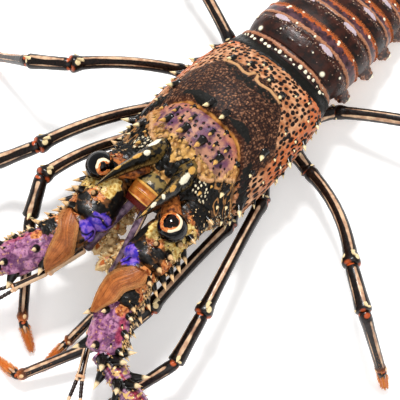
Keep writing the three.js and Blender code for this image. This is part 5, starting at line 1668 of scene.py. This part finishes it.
for side, word in SIDES:
    joints = np.array(ANTENNA_JOINTS[word], float)
    long = np.linalg.norm(joints[3] - joints[2])
    past = joints[3] + 0.55 * (joints[4] - joints[3])
    guide = route([[*joints[2], 11.6, 9.4], [*(joints[2] + joints[3]) / 2, 12.2, 9.8],
                   [*joints[3], 11.4, 9.3], [*past, 11.2, 9.2]], 120)
    reach = long / (long + np.linalg.norm(past - joints[3]))
    outer_edge, inner_edge = [keyed(keys) for keys in FLAP_EDGES[word]]
    first, last = FLAP_EDGES[word][0][0][0], FLAP_EDGES[word][0][-1][0]

    def draped(t, u, lift):
        """Points over the article: t from root to tip, u from the outer edge (-1) to the inner one."""
        share = first + (last - first) * t
        outer, inner = outer_edge(share), inner_edge(share)
        angle = (outer + inner) / 2 + np.maximum(inner - outer, 2) / 2 * u
        turn = np.radians(angle if side > 0 else 180 - angle)
        at, out, _ = on_tube(guide, (share * reach).reshape(-1), turn.reshape(-1), 1.0)
        height = lift + 0.5 + 1.7 * t ** 2 * (0.5 + 0.5 * u)
        shape = t.shape + (3,)
        return (at + out * np.reshape(height, (-1, 1))).reshape(shape), out.reshape(shape)

    around = np.linspace(0, TURN, 120, endpoint=False)
    t, phi = np.meshgrid(np.linspace(0, 1, 90), around, indexing="ij")
    u = -np.cos(phi)
    furrows = 0.5 + 0.5 * np.sin(44 * u + 6 * np.sin(3 * t + u))
    comb = 0.35 * furrows + 0.65 * ripple(t * 3 + 5, u * 14 + 30, 1.0, 71)
    thick = 0.9 * np.sqrt(np.abs(np.sin(phi))) * np.sign(np.sin(phi))
    points, _ = draped(t, u, thick + 0.3 * (comb - 0.5) * (np.sin(phi) > 0.1))
    form, hair = Form(), Form()
    order = slice(None, None, side)
    form.grid(points[:, order], comb=comb[:, order], edge=np.abs(u[:, order]))
    rng = np.random.default_rng(8)
    count = 3000
    t, u = rng.uniform(0.0, 0.97, count), rng.uniform(-0.97, 0.97, count)
    root, out = draped(t, u, 0.6)
    ahead, _ = draped(t + 0.02, u, 0.6)
    size, uv = rng.uniform(1.6, 3.4, count) * (1.1 - 0.4 * t), np.stack([t * 0.9, u * 0.45 + 0.5], 1)
    grow_bristles(hair, root, unit(ahead - root) + 0.16 * out, size, 0.1, uv, bend=0.06)
    form.piece("antenna_%s_flap" % word, flap_finish, [], "antenna_shell")
    hair.piece("antenna_%s_flap_bristles" % word, flap_hair, [], "antenna_shell", "OFBake")

# %% [markdown]
# ## Flagella
# The long whips are stiff, ringed rods. Near the head they are mauve with red streaks and carry great
# black spines with pale points. Farther out they darken and the spines shrink to small thorns.

# %% Flagella measures
FLAGELLA = {
    "left": [[40, -82, 36], [50, -84.5, 35.5], [66, -88.5, 35], [92, -93, 35], [154, -89, 37], [230, -64, 40],
             [303, -18, 43], [364, 46, 46]],
    "right": [[-31.5, -83, 36], [-40, -97, 35.5], [-56, -115, 35.5], [-104, -141, 37], [-176, -143, 40],
              [-245, -112, 43], [-303, -62, 46], [-348, 2, 49]],
}
# Each set of rows: its angles, its longest spine, how much the last is shorter, and the rows' spacing.
THORN_ROWS = (([5, 62, 118, 175], 9.5, 0.6, 1.5), ([20, 160], 3.6, 0.3, 1.0))


def flowing(keys, count):
    """A centripetal spline through the keys, resampled to even steps."""
    keys = np.array(keys, float)
    keys = np.concatenate([2 * keys[:1] - keys[1:2], keys, 2 * keys[-1:] - keys[-2:-1]])
    gap = np.linalg.norm(np.diff(keys, axis=0), axis=1) ** 0.5
    t = np.linspace(0, 1, 60, endpoint=False)[:, None]
    line = []
    for i in range(1, len(keys) - 2):
        a, b, c, d = keys[i - 1:i + 3]
        near, span, far = gap[i - 1], gap[i], gap[i + 1]
        leave = ((b - a) / near - (c - a) / (near + span) + (c - b) / span) * span
        arrive = ((c - b) / span - (d - b) / (span + far) + (d - c) / far) * span
        line.append((2 * t ** 3 - 3 * t ** 2 + 1) * b + (t ** 3 - 2 * t ** 2 + t) * leave
                    + (3 * t ** 2 - 2 * t ** 3) * c + (t ** 3 - t ** 2) * arrive)
    line = np.concatenate(line + [keys[-2][None]])
    distance = np.concatenate([[0], np.cumsum(np.linalg.norm(np.diff(line, axis=0), axis=1))])
    even = np.linspace(0, distance[-1], count)
    return np.stack([np.interp(even, distance, line[:, k]) for k in range(3)], 1), distance[-1]


# %% Flagella spines
def thorns(spikes, path, points, side):
    """Rows of spines that shrink along the whip, and masks of their dark feet and light rings."""
    ink, butter = np.zeros(points.shape[:2]), np.zeros(points.shape[:2])
    for index, (angles, size, shrink, spread) in enumerate(THORN_ROWS):
        for i, angle in enumerate(angles):
            shares = row_shares(5, (index + 0.04 + 0.03 * (i % 2)) / 3, (index + 0.95) / 3, spread)
            lengths = size * (1 - shrink * np.linspace(0, 1, 5) ** spread)
            root, out, along = on_tube(path, shares, np.full(5, turned(angle, side)), 0.9)
            grow_spines(spikes, root, out + 0.6 * along, lengths, 0.9 + 0.22 * lengths, lean=(0, 0, 1),
                        bend=0.05, sides=12, rings=10, pale=0.8)
            for spot, reach in zip(root, lengths):
                away = np.linalg.norm(points - spot, axis=-1)
                ink = np.maximum(ink, bell(away, 0, 0.42 * reach + 0.6))
                butter = np.maximum(butter, bell(away, 0.55 * reach + 1.6, 0.7) * (reach > 6))
    return ink, butter


def small_thorns(spikes, path):
    """Scattered thorns all along the whip's upper side."""
    rng, count = np.random.default_rng(19), 420
    shares = rng.random(count) ** 1.3 * 0.98 + 0.01
    root, out, along = on_tube(path, shares, rng.uniform(-0.6, math.pi + 0.6, count), 0.95)
    size = rng.uniform(0.7, 2.2, count) * (1.15 - shares)
    grow_spines(spikes, root, out + 0.9 * along, size, 0.25 + 0.25 * size, lean=(0, 0, 1), sides=5, rings=5)


# %% Flagella
paint = Finish("flagellum")
fine, streaks = paint.noise(1.0, 3.0), paint.mask("streak")
paint.lay("6a3a62", "c090aa", (streaks + 0.3 * fine).above(0.4, 0.8))
paint.lay("6a1028", "b84458", fine, where=paint.zone("red", 0.4, 0.8))
paint.lay("1c0e0a", "5e3a28", paint.noise(6.0).above(0.35, 0.65), where=paint.mask("far"))
paint.lay("080504", where=paint.zone("ink", 0.35, 0.6))
paint.lay("1c0c0c", where=paint.mask("ring") * 0.6)
paint.lay("d8b070", where=paint.zone("butter", 0.4, 0.6))
flagellum_finish = paint.shell(0.2 + 0.18 * fine, paint.noise(0.6, 3.0), 0.08, coat=0.1)
for side, word in SIDES:
    at, length = flowing(FLAGELLA[word], 1050)
    t = np.linspace(0, 1, len(at))
    path = follow(at, 0.7 + 5.9 * (1 - t) ** 1.25, t)
    points, turn = tube(path, 28)
    share, turn = t[:, None] + 0 * turn, turn[None, :] + 0 * t[:, None]
    streak = ripple(turn * 5 + 20, share * 12, 1.0, 77)
    rings = np.sin(share * length * TURN / 2.2)
    rough = 0.5 * (ripple(share * length / 5, turn * 3 + 9, 1.0, 5) - 0.5)
    relief = (0.16 * rings + rough) * path["wide"][:, None] / 6.6
    form, spikes = Form(), Form()
    ink, butter = thorns(spikes, path, points, side)
    small_thorns(spikes, path)
    red = step(ripple(turn * 4 + 3, share * 9, 1.0, 31), 0.62, 0.8)
    patchy = step(ripple(share * length / 2.2, turn * 3 + 3, 1.0, 44), 0.42, 0.58)
    butter = butter * (1 - step(share, 0.1, 0.2)) * patchy
    form.grid(points + unit(points - at[:, None]) * relief[..., None], streak=streak,
              ring=step(rings, -0.5, -0.9), far=step(share, 0.16, 0.42), red=red, ink=ink, butter=butter)
    nodes = ["antenna_%s_flagellum_%s" % (word, part) for part in ("near", "middle", "far")]
    form.piece("flagellum_%s_rod" % word, flagellum_finish, nodes, "flagellum")
    spikes.piece("flagellum_%s_spines" % word, antenna_spine, [], "flagellum")

# %% [markdown]
# ## Sizes
# The dressed model must stay inside the box of the solids, so both boxes are put side by side, and the
# model's span is printed.

# %% Sizes
low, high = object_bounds()
boxes = [cad_low, cad_high, low, high]
[[float(value) for value in corner] for corner in boxes]
print("model spans", [round(b - a, 4) for a, b in zip(low, high)])
